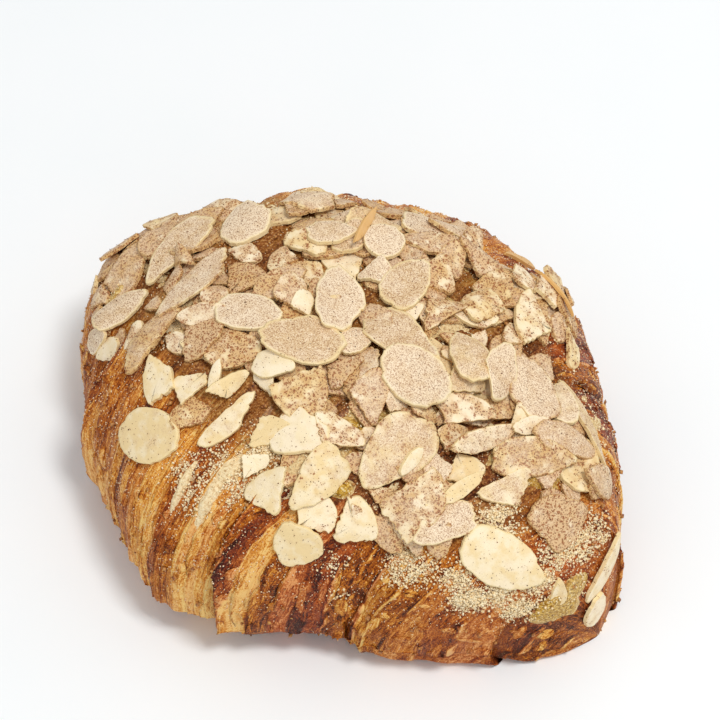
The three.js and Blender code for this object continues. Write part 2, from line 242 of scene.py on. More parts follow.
# The slices that show best in the photograph, from the lowest to the topmost: pixel across and
# down, length and width, heading of the pointed end in the picture in degrees from rightwards,
# shape, dust, spice and, for one that stands up on its edge, how far in degrees.
SHOWN_FLAKES = (
    (205, 231, 12, 9, 25, "broken", 0.3, 0.9),
    (128, 276, 17, 8.5, 55, "broken", 0.3, 0.8),
    (105, 300, 8, 6, 50, "shard", 0.3, 0.6),
    (309, 213, 14, 9, 5, "shard", 0.5, 0.5),
    (318, 236, 13, 7, 0, "broken", 0.3, 0.8),
    (345, 234, 11, 7, -5, "broken", 0.5, 0.4),
    (374, 239, 13, 6.5, 0, "almond", 0.4, 0.3),
    (163, 250, 10, 8.5, 30, "round", 0.2, 0.9),
    (245, 257, 8.5, 6, -20, "shard", 0.1, 0.5),
    (286, 262, 9, 7, 60, "shard", 0.1, 0.5),
    (307, 250, 11, 7.5, -35, "broken", 0.0, 0.3),
    (424, 238, 14, 9, -25, "almond", 0.8, 0.3),
    (452, 240, 13, 6, -12, "almond", 0.5, 0.5),
    (470, 247, 9, 6.5, -40, "shard", 0.1, 0.6),
    (432, 255, 17, 7, -10, "broken", 0.2, 0.7),
    (350, 250, 9, 7, 20, "round", 0.8, 0.2),
    (384, 254, 10, 8.5, 30, "round", 0.9, 0.1),
    (505, 278, 8, 6.5, -50, "shard", 0.6, 0.3),
    (452, 269, 10, 7, 25, "shard", 0.3, 0.6),
    (474, 269, 12, 8, -25, "broken", 0.1, 0.8),
    (492, 291, 11, 8.5, 60, "broken", 0.0, 0.7),
    (515, 285, 10, 6, -55, "broken", 0.0, 0.4),
    (535, 300, 9, 8, -60, "broken", 0.0, 0.4),
    (560, 320, 11, 8.5, -55, "broken", 0.0, 0.8),
    (565, 298, 11, 7, -50, "shard", 0.1, 0.6),
    (567, 352, 9, 6.5, -70, "shard", 0.0, 0.3),
    (541, 370, 9, 7, 20, "shard", 0.3, 0.9),
    (525, 325, 16, 9, 95, "broken", 0.0, 0.3),
    (437, 284, 10, 8, 60, "broken", 0.0, 0.6),
    (400, 322, 12, 6, 25, "almond", 0.0, 0.1),
    (437, 320, 15, 7.5, 15, "broken", 0.0, 0.7),
    (482, 312, 11, 9.5, 70, "broken", 0.0, 0.4),
    (246, 283, 13.5, 9.5, -15, "broken", 0.0, 1.0),
    (280, 290, 14, 6.5, 34, "almond", 0.2, 0.8),
    (218, 302, 7, 6, 60, "round", 0.1, 0.7),
    (291, 303, 10, 7, 60, "broken", 0.3, 0.6),
    (306, 314, 6.5, 5.5, 80, "shard", 0.0, 0.2),
    (205, 321, 11, 5, 12, "sliver", 0.3, 0.4, 25),
    (234, 354, 14, 8.5, -8, "almond", 0.0, 0.6),
    (202, 342, 13, 9, 20, "broken", 0.0, 0.9),
    (353, 347, 9, 6, 35, "round", 0.9, 0.1),
    (375, 323, 10, 6.5, 120, "broken", 0.3, 0.7),
    (341, 378, 10, 6, 25, "shard", 0.1, 0.8),
    (113, 353, 9.5, 6, 43, "broken", 0.0, 0.0),
    (102, 341, 11, 5, 31, "almond", 0.7, 0.1),
    (152, 343, 20, 7.5, 49, "broken", 0.3, 0.7),
    (217, 378, 7, 2.6, 67, "sliver", 0.0, 0.0),
    (229, 389, 11, 4.2, 35, "broken", 0.1, 0.1, 35),
    (194, 413, 11, 7, 40, "shard", 0.0, 0.5),
    (192, 387, 10, 8.5, 70, "shard", 0.0, 0.2),
    (160, 382, 15, 8, 100, "broken", 0.0, 0.0),
    (150, 436, 17.5, 12.5, -8, "round", 0.1, 0.0),
    (231, 421, 17, 6.5, 218, "broken", 0.15, 0.1),
    (268, 384, 10, 5.5, 110, "broken", 0.0, 0.0),
    (277, 371, 10, 6.5, -15, "almond", 0.0, 0.0),
    (303, 400, 15, 12, -60, "broken", 0.0, 0.5),
    (336, 434, 13, 8, -20, "broken", 0.1, 0.4),
    (268, 436, 12, 8, -10, "shard", 0.0, 0.1),
    (309, 443, 13.5, 9.5, 215, "broken", 0.0, 0.1),
    (254, 465, 9, 6, 55, "shard", 0.0, 0.0, 15),
    (270, 491, 12.5, 9.5, 30, "broken", 0.05, 0.0),
    (317, 512, 12, 8.5, 100, "broken", 0.0, 0.2),
    (319, 478, 16, 9.5, 230, "almond", 0.05, 0.2),
    (353, 524, 13, 10, -55, "broken", 0.05, 0.1),
    (296, 541, 11.5, 10, 110, "almond", 0.0, 0.0),
    (368, 402, 13, 9.5, 75, "broken", 0.2, 0.7),
    (438, 470, 10, 6.5, 90, "broken", 0.5, 0.4),
    (445, 525, 15.5, 7.5, 211, "almond", 0.75, 0.3),
    (405, 506, 21, 12, 240, "broken", 0.2, 0.5),
    (408, 464, 8, 3, 50, "sliver", 0.0, 0.0, 25),
    (393, 453, 20, 13, 225, "almond", 0.45, 0.35),
    (462, 492, 12, 3.5, 33, "sliver", 0.1, 0.0, 25),
    (462, 472, 9, 8, 20, "shard", 0.0, 0.2),
    (480, 446, 17, 5, 19, "sliver", 0.3, 0.4, 30),
    (529, 434, 9, 4, 10, "sliver", 0.2, 0.2, 25),
    (562, 446, 17, 7, -15, "almond", 0.5, 0.8),
    (531, 461, 19, 8, -3, "almond", 0.2, 0.6),
    (593, 479, 14, 8.5, -25, "broken", 0.3, 0.7),
    (509, 489, 14, 7.5, 185, "broken", 0.4, 0.3),
    (558, 522, 18, 12, 8, "broken", 0.05, 0.9),
    (503, 561, 21, 11.5, -24, "almond", 0.0, 0.05),
    (603, 566, 17, 5.5, 68, "sliver", 0.05, 0.2),
    (558, 591, 8, 3.4, 88, "almond", 0.1, 0.1),
    (594, 611, 10, 6.5, 80, "round", 0.05, 0.2),
    (452, 439, 8, 6.5, 30, "shard", 0.0, 0.4),
    (458, 416, 14, 8.5, -5, "broken", 0.1, 0.4),
    (582, 424, 21, 4.6, -65, "sliver", 0.5, 0.2),
    (558, 409, 13, 7, 95, "almond", 0.5, 0.1),
    (458, 387, 9.5, 7, -10, "shard", 0.5, 0.1),
    (464, 362, 14, 9, 110, "almond", 0.6, 0.1),
    (524, 391, 18, 10.5, 100, "almond", 0.75, 0.5),
    (495, 377, 15, 8, 72, "broken", 0.85, 0.1),
    (409, 351, 19, 10, -14, "almond", 0.9, 0.1),
    (410, 383, 16.5, 11.5, -40, "round", 0.85, 0.2),
    (375, 281, 8.5, 7.5, -50, "shard", 0.85, 0.1),
    (407, 292, 12.5, 10.5, 40, "almond", 0.9, 0.1),
    (330, 246, 12, 6, -8, "almond", 0.85, 0.1),
    (124, 310, 15, 7.5, 38, "almond", 0.85, 0.1),
    (200, 289, 22, 8, 220, "almond", 0.65, 0.5),
    (182, 258, 21, 9, 222, "almond", 0.9, 0.2),
    (247, 230, 14, 11, 215, "broken", 0.9, 0.1),
    (252, 321, 16, 9.5, -12, "almond", 0.9, 0.1),
    (300, 351, 19, 12, 176, "almond", 0.85, 0.1),
    (341, 305, 19.5, 10.5, 95, "almond", 1.0, 0.1),
    (364, 246, 12.5, 2.2, 58, "toasted", 0.0, 0.0, 50),
    (519, 262, 14, 3, -36, "toasted", 0.0, 0.0),
    (543, 300, 13, 2.8, -52, "toasted", 0.0, 0.0),
)

# Almond cream: pixel across and down, length and width, heading in degrees, height, moistness.
CREAM_PATCHES = (
    (182, 487, 12.0, 2.2, 62, 1.5, 0.0),
    (209, 499, 13.0, 3.4, 62, 1.7, 0.0),
    (228, 470, 9.0, 4.0, 40, 1.2, 0.1),
    (343, 489, 6.0, 4.5, 20, 1.7, 1.0),
    (447, 494, 7.0, 5.0, 30, 1.5, 0.9),
    (541, 476, 12.0, 5.0, 0, 1.5, 0.9),
    (557, 606, 12.5, 11.0, 40, 3.4, 0.95),
    (573, 590, 9.0, 8.0, 60, 2.8, 0.85),
    (309, 200, 14.0, 8.0, 5, 3.0, 0.3),
    (120, 292, 9.0, 4.0, 50, 2.0, 0.8),
    (300, 470, 10.0, 5.0, 60, 1.4, 0.4),
)
CREAM_RINGS = 300
CREAM_STEPS = 190
CREAM_WITHIN = (-0.93, 0.96)  # places along the roll
CREAM_ANGLES = (0.35, 2.85)
CREAM_NEAR = (-0.05, 0.2)  # it ends over these angles before the near limit of the almonds
CREAM_FAR = (0.6, 0.85)  # over these angles on the far side
CREAM_ENDS = (0.75, 0.85)  # and over these places at both ends
CREAM_UNDER = 1.1  # how far its underside lies in the crust
CREAM_FILM = 0.35  # greatest height between the slices
CREAM_THINNEST = -0.4  # lower than this, under the crust, it isn't made

# Cream and sugar crusted thinly on the bare crust: pixel across and down, reach, strength.
LACE_PATCHES = (
    (470, 600, 4.5, 1.0), (455, 583, 5.0, 0.75), (497, 590, 5.5, 0.7), (520, 606, 4.5, 0.75),
    (415, 562, 6.0, 0.7), (395, 575, 3.0, 0.7), (500, 522, 6.0, 0.65), (592, 528, 5.0, 0.65),
    (228, 472, 7.0, 0.72), (262, 458, 6.0, 0.7), (188, 470, 5.0, 0.6), (333, 562, 3.0, 0.5),
    (345, 592, 2.4, 0.5), (196, 492, 5.0, 0.7), (560, 552, 6.0, 0.8), (540, 580, 5.0, 0.75),
    (585, 545, 5.0, 0.7),
)

# Bands across the roll that are baked darker, or stayed paler: place, half width, strength.
BROWN_BANDS = (
    (-0.09, 0.05, -0.02), (-0.38, 0.05, 0.14), (-0.72, 0.07, 0.2), (0.21, 0.025, 0.24),
    (0.4, 0.09, 0.2), (0.66, 0.12, 0.08), (0.97, 0.07, 0.2), (0.05, 0.06, -0.24),
    (-0.22, 0.05, -0.2), (0.29, 0.03, -0.16),
)
# Bands that are baked redder: place, half width, strength.
RED_BANDS = (
    (-0.09, 0.06, 0.3), (0.2, 0.03, 0.3), (0.42, 0.09, 0.35), (0.72, 0.12, 0.1), (0.96, 0.06, 0.2),
)

# Loose layers, grains and crumbs.
LOOSE_COUNT = 150
LOOSE_LENGTH = (8.0, 30.0)
LOOSE_WIDTH = (0.8, 2.4)
LOOSE_LIFT = (0.1, 0.7)
LOOSE_THICKNESS = 0.2
LOOSE_STEPS = (14, 4)
LOOSE_WITHIN = (-0.93, 0.96)  # places along the roll
LOOSE_NEAR_SHARE = 0.6  # how many of them lie on the near side
LOOSE_NEAR = (2.1, 3.3)  # angles round the roll
LOOSE_FAR = (-0.15, 0.75)
LOOSE_TONE = (-0.4, 0.2)  # how much paler or darker than the crust
LOOSE_LOWEST = 0.05  # over the floor
CHIP_COUNT = 320
CHIP_LENGTH = (2.5, 8.0)
CHIP_WIDTH = (0.8, 2.6)
# Torn layers that show best: pixel across and down, length, width, lift, brownness.
SHOWN_LAYERS = (
    (256, 602, 14.0, 1.6, 0.6, 0.4),
    (300, 600, 15.0, 1.2, 0.5, 0.3),
    (332, 585, 16.0, 1.2, 0.5, 0.25),
    (520, 632, 9.0, 1.6, 0.8, 0.3),
    (545, 634, 8.0, 1.6, 0.7, 0.25),
    (222, 560, 15.0, 1.6, 0.6, 0.5),
    (112, 500, 18.0, 2.0, 0.6, 0.15),
    (140, 545, 14.0, 1.6, 0.5, 0.3),
)
SUGAR_COUNT = 13000
SUGAR_SIZE = (0.1, 0.28)
SPICE_COUNT = 5000
SPICE_SIZE = (0.08, 0.2)
LACE_CRUMB_COUNT = 7000
LUMP_CRUMB_COUNT = 3500
LACE_CRUMB_SIZE = (0.12, 0.5)
CRUMB_COUNT = 700
CRUMB_SIZE = (0.3, 0.9)
GRAIN_SUNK = 0.25  # how deep a grain sits, as a share of its size
GRAINS_FROM = 2.0  # sugar and crumbs lie at least this far over the floor
SUGARED_FROM_TO = (10, 36)  # heights over which sugar grows thicker

# The crust's colours as it bakes darker, where it is amber and where it is reddish.
AMBER_BAKE = (
    (0.0, (248, 208, 128)), (0.18, (230, 166, 74)), (0.4, (204, 126, 40)), (0.6, (168, 88, 22)),
    (0.8, (120, 54, 14)), (1.0, (66, 28, 10)),
)
RED_BAKE = (
    (0.0, (232, 162, 100)), (0.18, (200, 114, 58)), (0.4, (168, 80, 30)), (0.6, (134, 56, 24)),
    (0.8, (96, 38, 26)), (1.0, (58, 24, 18)),
)
# Painted shade in the folds beside the turns' edges, partly the damper dough's own darker brown.
CREVICE_SHADE_BROWN = (128, 64, 20)
# Sugar specks painted on the crust, partly the sugar's own pale colour and partly painted glints.
SUGAR_GLINT = (232, 184, 130)
# Paste on the crust under the almonds, darkened also as painted shade in the gaps between the slices,
# and cream crusted on it, by grain.
PASTE_AND_GAP_SHADE_TONES = (
    (0.3, (56, 30, 14)), (0.45, (104, 60, 28)), (0.58, (150, 100, 52)), (0.72, (208, 168, 112)),
)
LACE_TONES = (
    (0.3, (142, 92, 74)), (0.42, (224, 194, 148)), (0.55, (246, 228, 190)), (0.8, (252, 240, 214)),
)
# The almonds' colours.
ALMOND_TONES = ((0.0, (252, 235, 203)), (0.5, (248, 229, 190)), (1.0, (241, 214, 160)))
ALMOND_RIM = (246, 222, 166)
ALMOND_SPECK = (116, 84, 62)
TOASTED = (222, 166, 86)
SPICE_STAIN = (204, 150, 80)
SPICE_DOT = (158, 92, 46)
SPICE_FINE_DOT = (132, 74, 38)
POWDER_TONES = ((0.0, (243, 219, 186)), (0.5, (236, 208, 172)), (1.0, (220, 187, 144)))
POWDER_BROWN = (150, 100, 68)
POWDER_PALE = (255, 240, 214)
# The cream's colours by grain, moist and crusted, and its specks.
WET_CREAM = (
    (0.3, (108, 70, 4)), (0.43, (166, 118, 22)), (0.56, (206, 160, 56)), (0.72, (238, 208, 122)),
)
DRY_CREAM = (
    (0.28, (188, 144, 92)), (0.42, (236, 208, 160)), (0.55, (248, 227, 184)), (0.8, (252, 238, 204)),
)
CREAM_PALE = (252, 236, 186)
CREAM_DARK = (112, 74, 48)
# The grains' colours, lighter and darker.
SUGAR_COLOURS = ((250, 228, 196), (238, 202, 152))
CREAM_CRUMB_COLOURS = ((255, 240, 204), (244, 214, 160))
SPICE_COLOURS = ((150, 96, 58), (88, 50, 32))
CRUMB_COLOURS = ((206, 148, 78), (140, 78, 36))

# The stage, in metres and watts.
FLOOR_REACH = 4.0
FLOOR_TONES = ((0.3, (247, 251, 253)), (0.7, (249, 252, 254)))
SKY_STRENGTH = 0.62
KEY_RIGHT, KEY_AWAY, KEY_UP = 0.25, -0.2, 1.0  # where the light hangs, seen from the camera
KEY_AIM = (0, 0, 0.03)
KEY_SIZE = 0.22
KEY_POWER = 5.2
KEY_COLOUR = (1.0, 0.99, 0.97)

# A grain's corners and faces.
OCTAHEDRON = (
    np.array(((1, 0, 0), (-1, 0, 0), (0, 1, 0), (0, -1, 0), (0, 0, 1), (0, 0, -1)), float),
    np.array(
        ((0, 2, 4), (2, 1, 4), (1, 3, 4), (3, 0, 4), (2, 0, 5), (1, 2, 5), (3, 1, 5), (0, 3, 5))
    ),
)


# Curves and noise.


def smoothstep(value, low, high):
    share = np.clip((value - low) / (high - low), 0, 1)
    return share * share * (3 - 2 * share)


def bell(distance, reach):
    return np.exp(-((distance / reach) ** 2))


def crossed(rows, columns):
    """Two lines of numbers as a grid of pairs."""
    return np.meshgrid(rows, columns, indexing="ij")


def lattice(column, row, seed):
    """A fixed number from 0 to 1 for each corner of a grid."""
    mixed = np.sin(column * 127.1 + row * 311.7 + seed * 74.7) * 43758.5453
    return mixed - np.floor(mixed)


def value_noise(x, y, seed):
    left, low = np.floor(x), np.floor(y)
    u = smoothstep(x - left, 0, 1)
    v = smoothstep(y - low, 0, 1)
    bottom = lattice(left, low, seed) * (1 - u) + lattice(left + 1, low, seed) * u
    top = lattice(left, low + 1, seed) * (1 - u) + lattice(left + 1, low + 1, seed) * u
    return bottom * (1 - v) + top * v


def fractal(x, y, seed, octaves=3):
    """Layered noise from 0 to 1."""
    total = 0
    weight = 0
    for octave in range(octaves):
        share = 0.5**octave
        scale = 2**octave
        total = total + share * value_noise(x * scale + 17.3 * octave, y * scale, seed + octave)
        weight += share
    return total / weight


def swing(x, y, seed, octaves=3):
    """Layered noise from -1 to 1."""
    return 2 * fractal(x, y, seed, octaves) - 1


# The loaf's surface.


def over_angle(angle):
    """A quarter turn on the far side, 0 on top, and a quarter turn back on the near side."""
    wrapped = np.where(angle > 3 * QUARTER, angle - 4 * QUARTER, angle)
    return np.clip(QUARTER - wrapped, -QUARTER, QUARTER)


def edge_distances(s, over, tuck, ragged):
    """For each turn edge: how far past it a place is, along the roll, and how deep it is there."""
    farness = (1 + np.sin(over)) / 2
    depth = EDGE_ON_TOP + (1 - EDGE_ON_TOP) * np.sin(over) ** 2 + (EDGE_AT_FOOT - 1) * tuck
    lowness = np.maximum(0, -over - FOOT_FROM) / (QUARTER - FOOT_FROM) + tuck * (1 - farness)
    for number, (at, skew, foot, facing, drop, lip) in enumerate(TURN_EDGES):
        place = at + skew * over / QUARTER + foot * lowness
        if ragged:
            stray = swing(over * ROUND_RADIUS / 8, tuck * 3 + 10 * number, 11, 3)
            place = place + EDGE_RAGGED * stray / HALF_LENGTH
        yield place, (s - place) * facing * HALF_LENGTH, depth, facing, drop, lip


def ridges(s, over):
    """The long ridges of the layers, as in the part."""
    drift = sum(share * np.sin(w_over * over + w_along * s) for share, w_over, w_along in WANDER_WAVES)
    line = s * HALF_LENGTH + RIDGE_WANDER * drift
    return RIDGE_HEIGHT * np.sin(2 * math.pi * line / RIDGE_PITCH)


def relief(s, over, tuck, ragged=False, ridged=True):
    """How far the crust stands out of the smooth loaf, as in the part."""
    farness = (1 + np.sin(over)) / 2
    edges = list(edge_distances(s, over, tuck, ragged))
    bounds = [-1.0, *(edge[0] for edge in edges), 1.0]
    out = np.zeros(np.broadcast(s, over).shape)
    for turn, (near, far) in enumerate(TURN_SWELLS):
        share = np.clip((s - bounds[turn]) / (bounds[turn + 1] - bounds[turn]), 0, 1)
        out = out + (near + (far - near) * farness) * np.sqrt(4 * share * (1 - share))
    for _, past, depth, _, drop, lip in edges:
        fall = smoothstep(past, 0, EDGE_WIDTH)
        out = out - depth * drop * fall * np.exp(-np.maximum(past, 0) / EDGE_REACH)
        out = out + depth * lip * (1 - fall) * np.exp(np.minimum(past, 0) / LIP_REACH)
    if ridged:
        out = out + ridges(s, over)
    first, second = (w_over * over + w_along * s for w_over, w_along in UNEVEN_WAVES)
    return out + UNEVENNESS * np.sin(first) * np.cos(second)


def tuck_share(angle):
    """From 0 at the widest line to 1 at the base, and how far across the flat base a place is."""
    below = np.arcsin(np.clip(-np.sin(angle), 0, 1)) / QUARTER
    tuck = np.minimum(1, below / TUCK_TURN)
    flat = np.maximum(0, below - TUCK_TURN) / (1 - TUCK_TURN)
    return tuck, flat


def crust_point(s, angle, extra=0.0, slide=0.0, ragged=False, ridged=True):
    """The crust at s along the roll, from -1 to 1, and at an angle round it: 0 is the far side, a
    quarter turn the top, a half turn the near side, then the base. Extra stands out of it, and
    slide moves it along the roll."""
    s, angle = np.broadcast_arrays(np.clip(s, -1.0, 1.0), np.asarray(angle, float))
    reach = np.abs(s)
    power, root, spiral = (
        np.where(s > 0, TAPER_RIGHT[key], TAPER_LEFT[key]) for key in ("power", "root", "spiral")
    )
    narrow = np.maximum(0, 1 - reach**power) ** root
    fall = np.maximum(0, 1 - reach**HEIGHT_POWER) ** HEIGHT_ROOT
    blunt = np.sqrt(np.minimum(1, (1 - reach) * END_ROUNDING))
    half = WIDTH / 2 * narrow
    height = HEIGHT * (END_HEIGHT_SHARE * blunt + (1 - END_HEIGHT_SHARE) * fall)
    belly = BELLY_SHARE * height
    over = over_angle(angle)
    tuck, flat = tuck_share(angle)
    upper = np.sin(angle) >= 0
    side = np.where(np.cos(angle) < 0, -1.0, 1.0)

    sideways = np.abs(np.cos(angle)) ** SECTION_POWER
    tucked = (1 - (1 - BASE_SHARE) * tuck**2) * (1 - flat)
    across = half * side * np.where(upper, sideways, tucked)
    raised = belly + (height - belly) * np.abs(np.sin(angle)) ** SECTION_POWER
    lowered = np.where(tuck < 1, belly * np.cos(tuck * QUARTER), 0.0)
    up = np.where(upper, raised, lowered)
    radius = np.maximum(np.hypot(across, up - belly), 1e-3)
    room = np.minimum(1, radius / RELIEF_ROOM)
    swell = 1 + room * (relief(s, over, tuck, ragged, ridged) + extra) / radius
    across = across * swell
    up = np.where(up > belly, belly + (up - belly) * swell, up)

    turned = spiral * reach**SPIRAL_POWER * half * narrow * (1 - reach**4)
    along = HALF_LENGTH * s + turned * over * (1 - flat) / QUARTER + slide * room * (1 - flat)
    return np.stack((along, across + SWAY * s + CENTRING, up), axis=-1)


def smooth_point(s, angle):
    """The crust without its ridges."""
    return crust_point(s, angle, ridged=False)


def tangents(s, angle):
    """The crust's directions along and around the roll, and outwards."""
    step = 0.01
    along = smooth_point(s + step, angle) - smooth_point(s - step, angle)
    around = smooth_point(s, angle + step) - smooth_point(s, angle - step)
    out = np.cross(around, along)
    out = out / np.linalg.norm(out, axis=-1, keepdims=True)
    return along / (2 * step), around / (2 * step), out


def layer_lean(s):
    """How far the layers lean along the roll, which they do on the right turns."""
    return LAYER_LEAN * smoothstep(s, *RIGHT_TURNS)


def layer_line(s, angle):
    """Which layer lies at a place, as a length along the roll."""
    return s * HALF_LENGTH + layer_lean(s) * (angle - LEAN_ANGLE) * ROUND_RADIUS


def layer_drift(s, angle):
    """How far the layers wander along the roll."""
    line = layer_line(s, angle)
    around = angle * ROUND_RADIUS
    return LAYER_WANDER * swing(around / 45, line / 30, 1) + 0.6 * swing(around / 7, line / 5, 13)


def wandering_line(s, angle):
    """Which layer lies at a place, as it wanders."""
    return layer_line(s, angle) + layer_drift(s, angle)


def layer_setting(s, column):
    """One column of the table of layers, at each place along the roll."""
    table = np.array(LAYERS)
    return table[np.searchsorted(table[1:, 0], s), column]


def dough_layers(s, angle):
    """The dough's layers: their numbers, how near a layer's edge is, and how much that shows."""
    line = layer_line(s, angle)
    around = angle * ROUND_RADIUS
    count = wandering_line(s, angle) / layer_setting(s, BREADTH)
    count = count + layer_setting(s, UNEVEN) * swing(line / 8, around / 60, 2, 2)
    layer = np.floor(count) + LAYER_NUMBERS_RIGHT * (s > BROAD_LAYERS_AT)
    share = count - np.floor(count)
    rightward = smoothstep(s, *LAYERS_FACE_LEFT_RIGHT)
    lip = rightward * share + (1 - rightward) * (1 - share)
    shown = smoothstep(fractal(around / 9 + 9.1 * layer, 3.3 * layer, 4, 2), 0.35, 0.55)
    return layer, lip, shown


def bareness(angle):
    """1 on the sides, where the crust is bare, and 0 on top, under the almonds."""
    return 1 - smoothstep(np.sin(angle), *ALMONDS_FROM_TO)


def foot_rim(s, angle):
    """The edge of the lowest layer, along the foot of the turns on the right of the near side."""
    tuck, flat = tuck_share(angle)
    rim = bell(tuck - FOOT_RIM_AT, FOOT_RIM_WIDTH)
    rim = rim - FOOT_GROOVE_SHARE * bell(tuck - FOOT_GROOVE_AT, FOOT_RIM_WIDTH)
    return FOOT_RIM * rim * smoothstep(s, *RIGHT_TURNS) * (over_angle(angle) < 0) * (flat == 0)


def fine_relief(s, angle):
    """Layers, fibres and blisters of the crust."""
    line = wandering_line(s, angle)
    around = angle * ROUND_RADIUS
    layer, lip, shown = dough_layers(s, angle)
    strong = layer_setting(s, STRENGTH)
    layers = LAYER_HEIGHT * strong * (0.3 + 0.7 * lattice(layer, 0, 3)) * shown * lip**2
    fibres = swing(line / 1.4, around / 12, 6) + 0.5 * swing(line / 0.6, around / 5, 9, 2)
    blisters = swing(line / 6, around / 8, 12)
    return (
        layers * (0.35 + 0.65 * bareness(angle))
        + FIBRE_HEIGHT * fibres
        + BLISTER_HEIGHT * blisters
        + foot_rim(s, angle)
    )


def overhang(s, angle):
    """How far the turns hang over their neighbours, along the roll."""
    tuck, _ = tuck_share(angle)
    slide = 0.0
    for _, past, depth, facing, _, _ in edge_distances(s, over_angle(angle), tuck, True):
        before = np.exp(np.minimum(past, 0) / OVERHANG_REACH)
        slide = slide + facing * EDGE_OVERHANG * depth * before * (1 - smoothstep(past, 0, EDGE_WIDTH))
    return slide


# The photograph's view.


def pixel_ray(across, down):
    """The direction from the camera through a pixel of the photograph."""
    centre = FRAME_PIXELS / 2
    ray = RIGHT * (across - centre) + UP * (centre - down) - BACK * FOCAL_PIXELS
    return ray / np.linalg.norm(ray)


def surface_grid(rows, columns):
    """The loaf's upper side as a tree for finding what a ray meets, with each face's place."""
    s, angle = crossed(np.linspace(-ROLL_LIMIT, ROLL_LIMIT, rows), np.linspace(0, math.pi, columns))
    points = smooth_point(s, angle)
    faces = grid_triangles(rows, columns)
    tree = BVHTree.FromPolygons(points.reshape(-1, 3).tolist(), faces.tolist())
    return tree, s.ravel()[faces].mean(1), angle.ravel()[faces].mean(1)


def seen_place(grid, across, down):
    """Where on the loaf a pixel of the photograph falls; one just beside the loaf is drawn in."""
    tree, places, angles = grid
    for share in np.linspace(0, 0.2, 21):
        x = across + (AIM_PIXEL[0] - across) * share
        y = down + (AIM_PIXEL[1] - down) * share
        face = tree.ray_cast(Vector(EYE), Vector(pixel_ray(x, y)))[2]
        if face is not None:
            return places[face], angles[face]
    raise ValueError("no part of the loaf is near this pixel")


def seen_heading(across, down, out, degrees):
    """The direction along the surface that has this heading in the picture."""
    ray = pixel_ray(across, down)
    turn = math.radians(degrees)
    shown = RIGHT * math.cos(turn) + UP * math.sin(turn)
    heading = np.cross(out, np.cross(ray, shown))
    heading = heading / np.linalg.norm(heading)
    return heading if heading @ shown > 0 else -heading


# Meshes.


def grid_triangles(rows, columns):
    """Triangles of a grid of points, row by row."""
    corner = (np.arange(rows - 1)[:, None] * columns + np.arange(columns - 1)).ravel()
    first = np.stack((corner, corner + 1, corner + columns), 1)
    second = np.stack((corner + 1, corner + columns + 1, corner + columns), 1)
    return np.concatenate((first, second))


def strip_triangles(first, second):
    """Triangles between two rings of points, given by their numbers."""
    beside_first, beside_second = np.roll(first, -1), np.roll(second, -1)
    lower = np.stack((first, second, beside_second), 1)
    upper = np.stack((first, beside_second, beside_first), 1)
    return np.concatenate((lower, upper))


def shell_triangles(triangles, count):
    """A sheet's triangles as those of a closed shell: the top, the underside and the walls."""
    sides = np.concatenate((triangles[:, (0, 1)], triangles[:, (1, 2)], triangles[:, (2, 0)]))
    keys = np.sort(sides, 1) @ np.array((count, 1))
    _, first, uses = np.unique(keys, return_index=True, return_counts=True)
    rim = sides[first[uses == 1]]
    start, end = rim[:, 0], rim[:, 1]
    first = np.stack((end, start, start + count), 1)
    second = np.stack((end, start + count, end + count), 1)
    return np.concatenate((triangles, triangles[:, ::-1] + count, first, second))


def new_object(name, data):
    """An object in the scene with this mesh, light or camera."""
    thing = bpy.data.objects.new(name, data)
    bpy.context.scene.collection.objects.link(thing)
    return thing


def make_piece(name, points, triangles, material, slot, values=None, flow=None, sharp=None):
    """A mesh piece in metres, riding on the loaf, with a named value for each of its points."""
    mesh = bpy.data.meshes.new(name)
    mesh.from_pydata((points * MM).tolist(), [], triangles.tolist())
    mesh.shade_smooth()
    for key, value in (values or {}).items():
        attribute = mesh.attributes.new(key, "FLOAT", "POINT")
        attribute.data.foreach_set("value", np.asarray(value, np.float32).ravel())
    if flow is not None:
        attribute = mesh.attributes.new("flow", "FLOAT_VECTOR", "POINT")
        attribute.data.foreach_set("vector", (flow * MM).astype(np.float32).ravel())
    if sharp is not None:
        attribute = mesh.attributes.new("sharp_face", "BOOLEAN", "FACE")
        attribute.data.foreach_set("value", sharp)
    mesh.materials.append(material)
    piece = new_object(name, mesh)
    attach(piece, BODY)
    return piece


# The crust.


def crust_angles():
    upper = np.linspace(0, math.pi, CRUST_UPPER_STEPS, endpoint=False)
    tuck_end = TUCK_TURN * QUARTER
    tuck = np.linspace(0, tuck_end, CRUST_TUCK_STEPS, endpoint=False)
    base = np.linspace(tuck_end, QUARTER, CRUST_BASE_STEPS, endpoint=False)
    below = np.concatenate((tuck, base))
    return np.concatenate(
        (upper, math.pi + below, (3 * QUARTER,), (4 * QUARTER - below[1:])[::-1])
    )


def crowded(share):
    """Places along the roll, from -1 to 1, that lie closer together towards its ends."""
    return (1 - END_CROWDING) * share + END_CROWDING * np.sin(QUARTER * share)


def patch_strength(points, patches, grid):
    """How strongly round patches seen in the photograph reach each point."""
    total = np.zeros(points.shape[:-1])
    for across, down, reach, strength in patches:
        middle = crust_point(*seen_place(grid, across, down))
        distance = np.linalg.norm(points - middle, axis=-1)
        total = np.maximum(total, strength * bell(distance, reach))
    return total


def bands(s, angle, listed):
    """The summed strength of bands across the roll, whose borders waver."""
    line = layer_line(s, angle) / HALF_LENGTH
    wave = 0.03 * swing(angle * ROUND_RADIUS / 20, s * HALF_LENGTH / 40, 33)
    place = np.where(s > BROAD_LAYERS_AT, line, s) + wave
    return sum(strength * bell(place - at, reach) for at, reach, strength in listed)


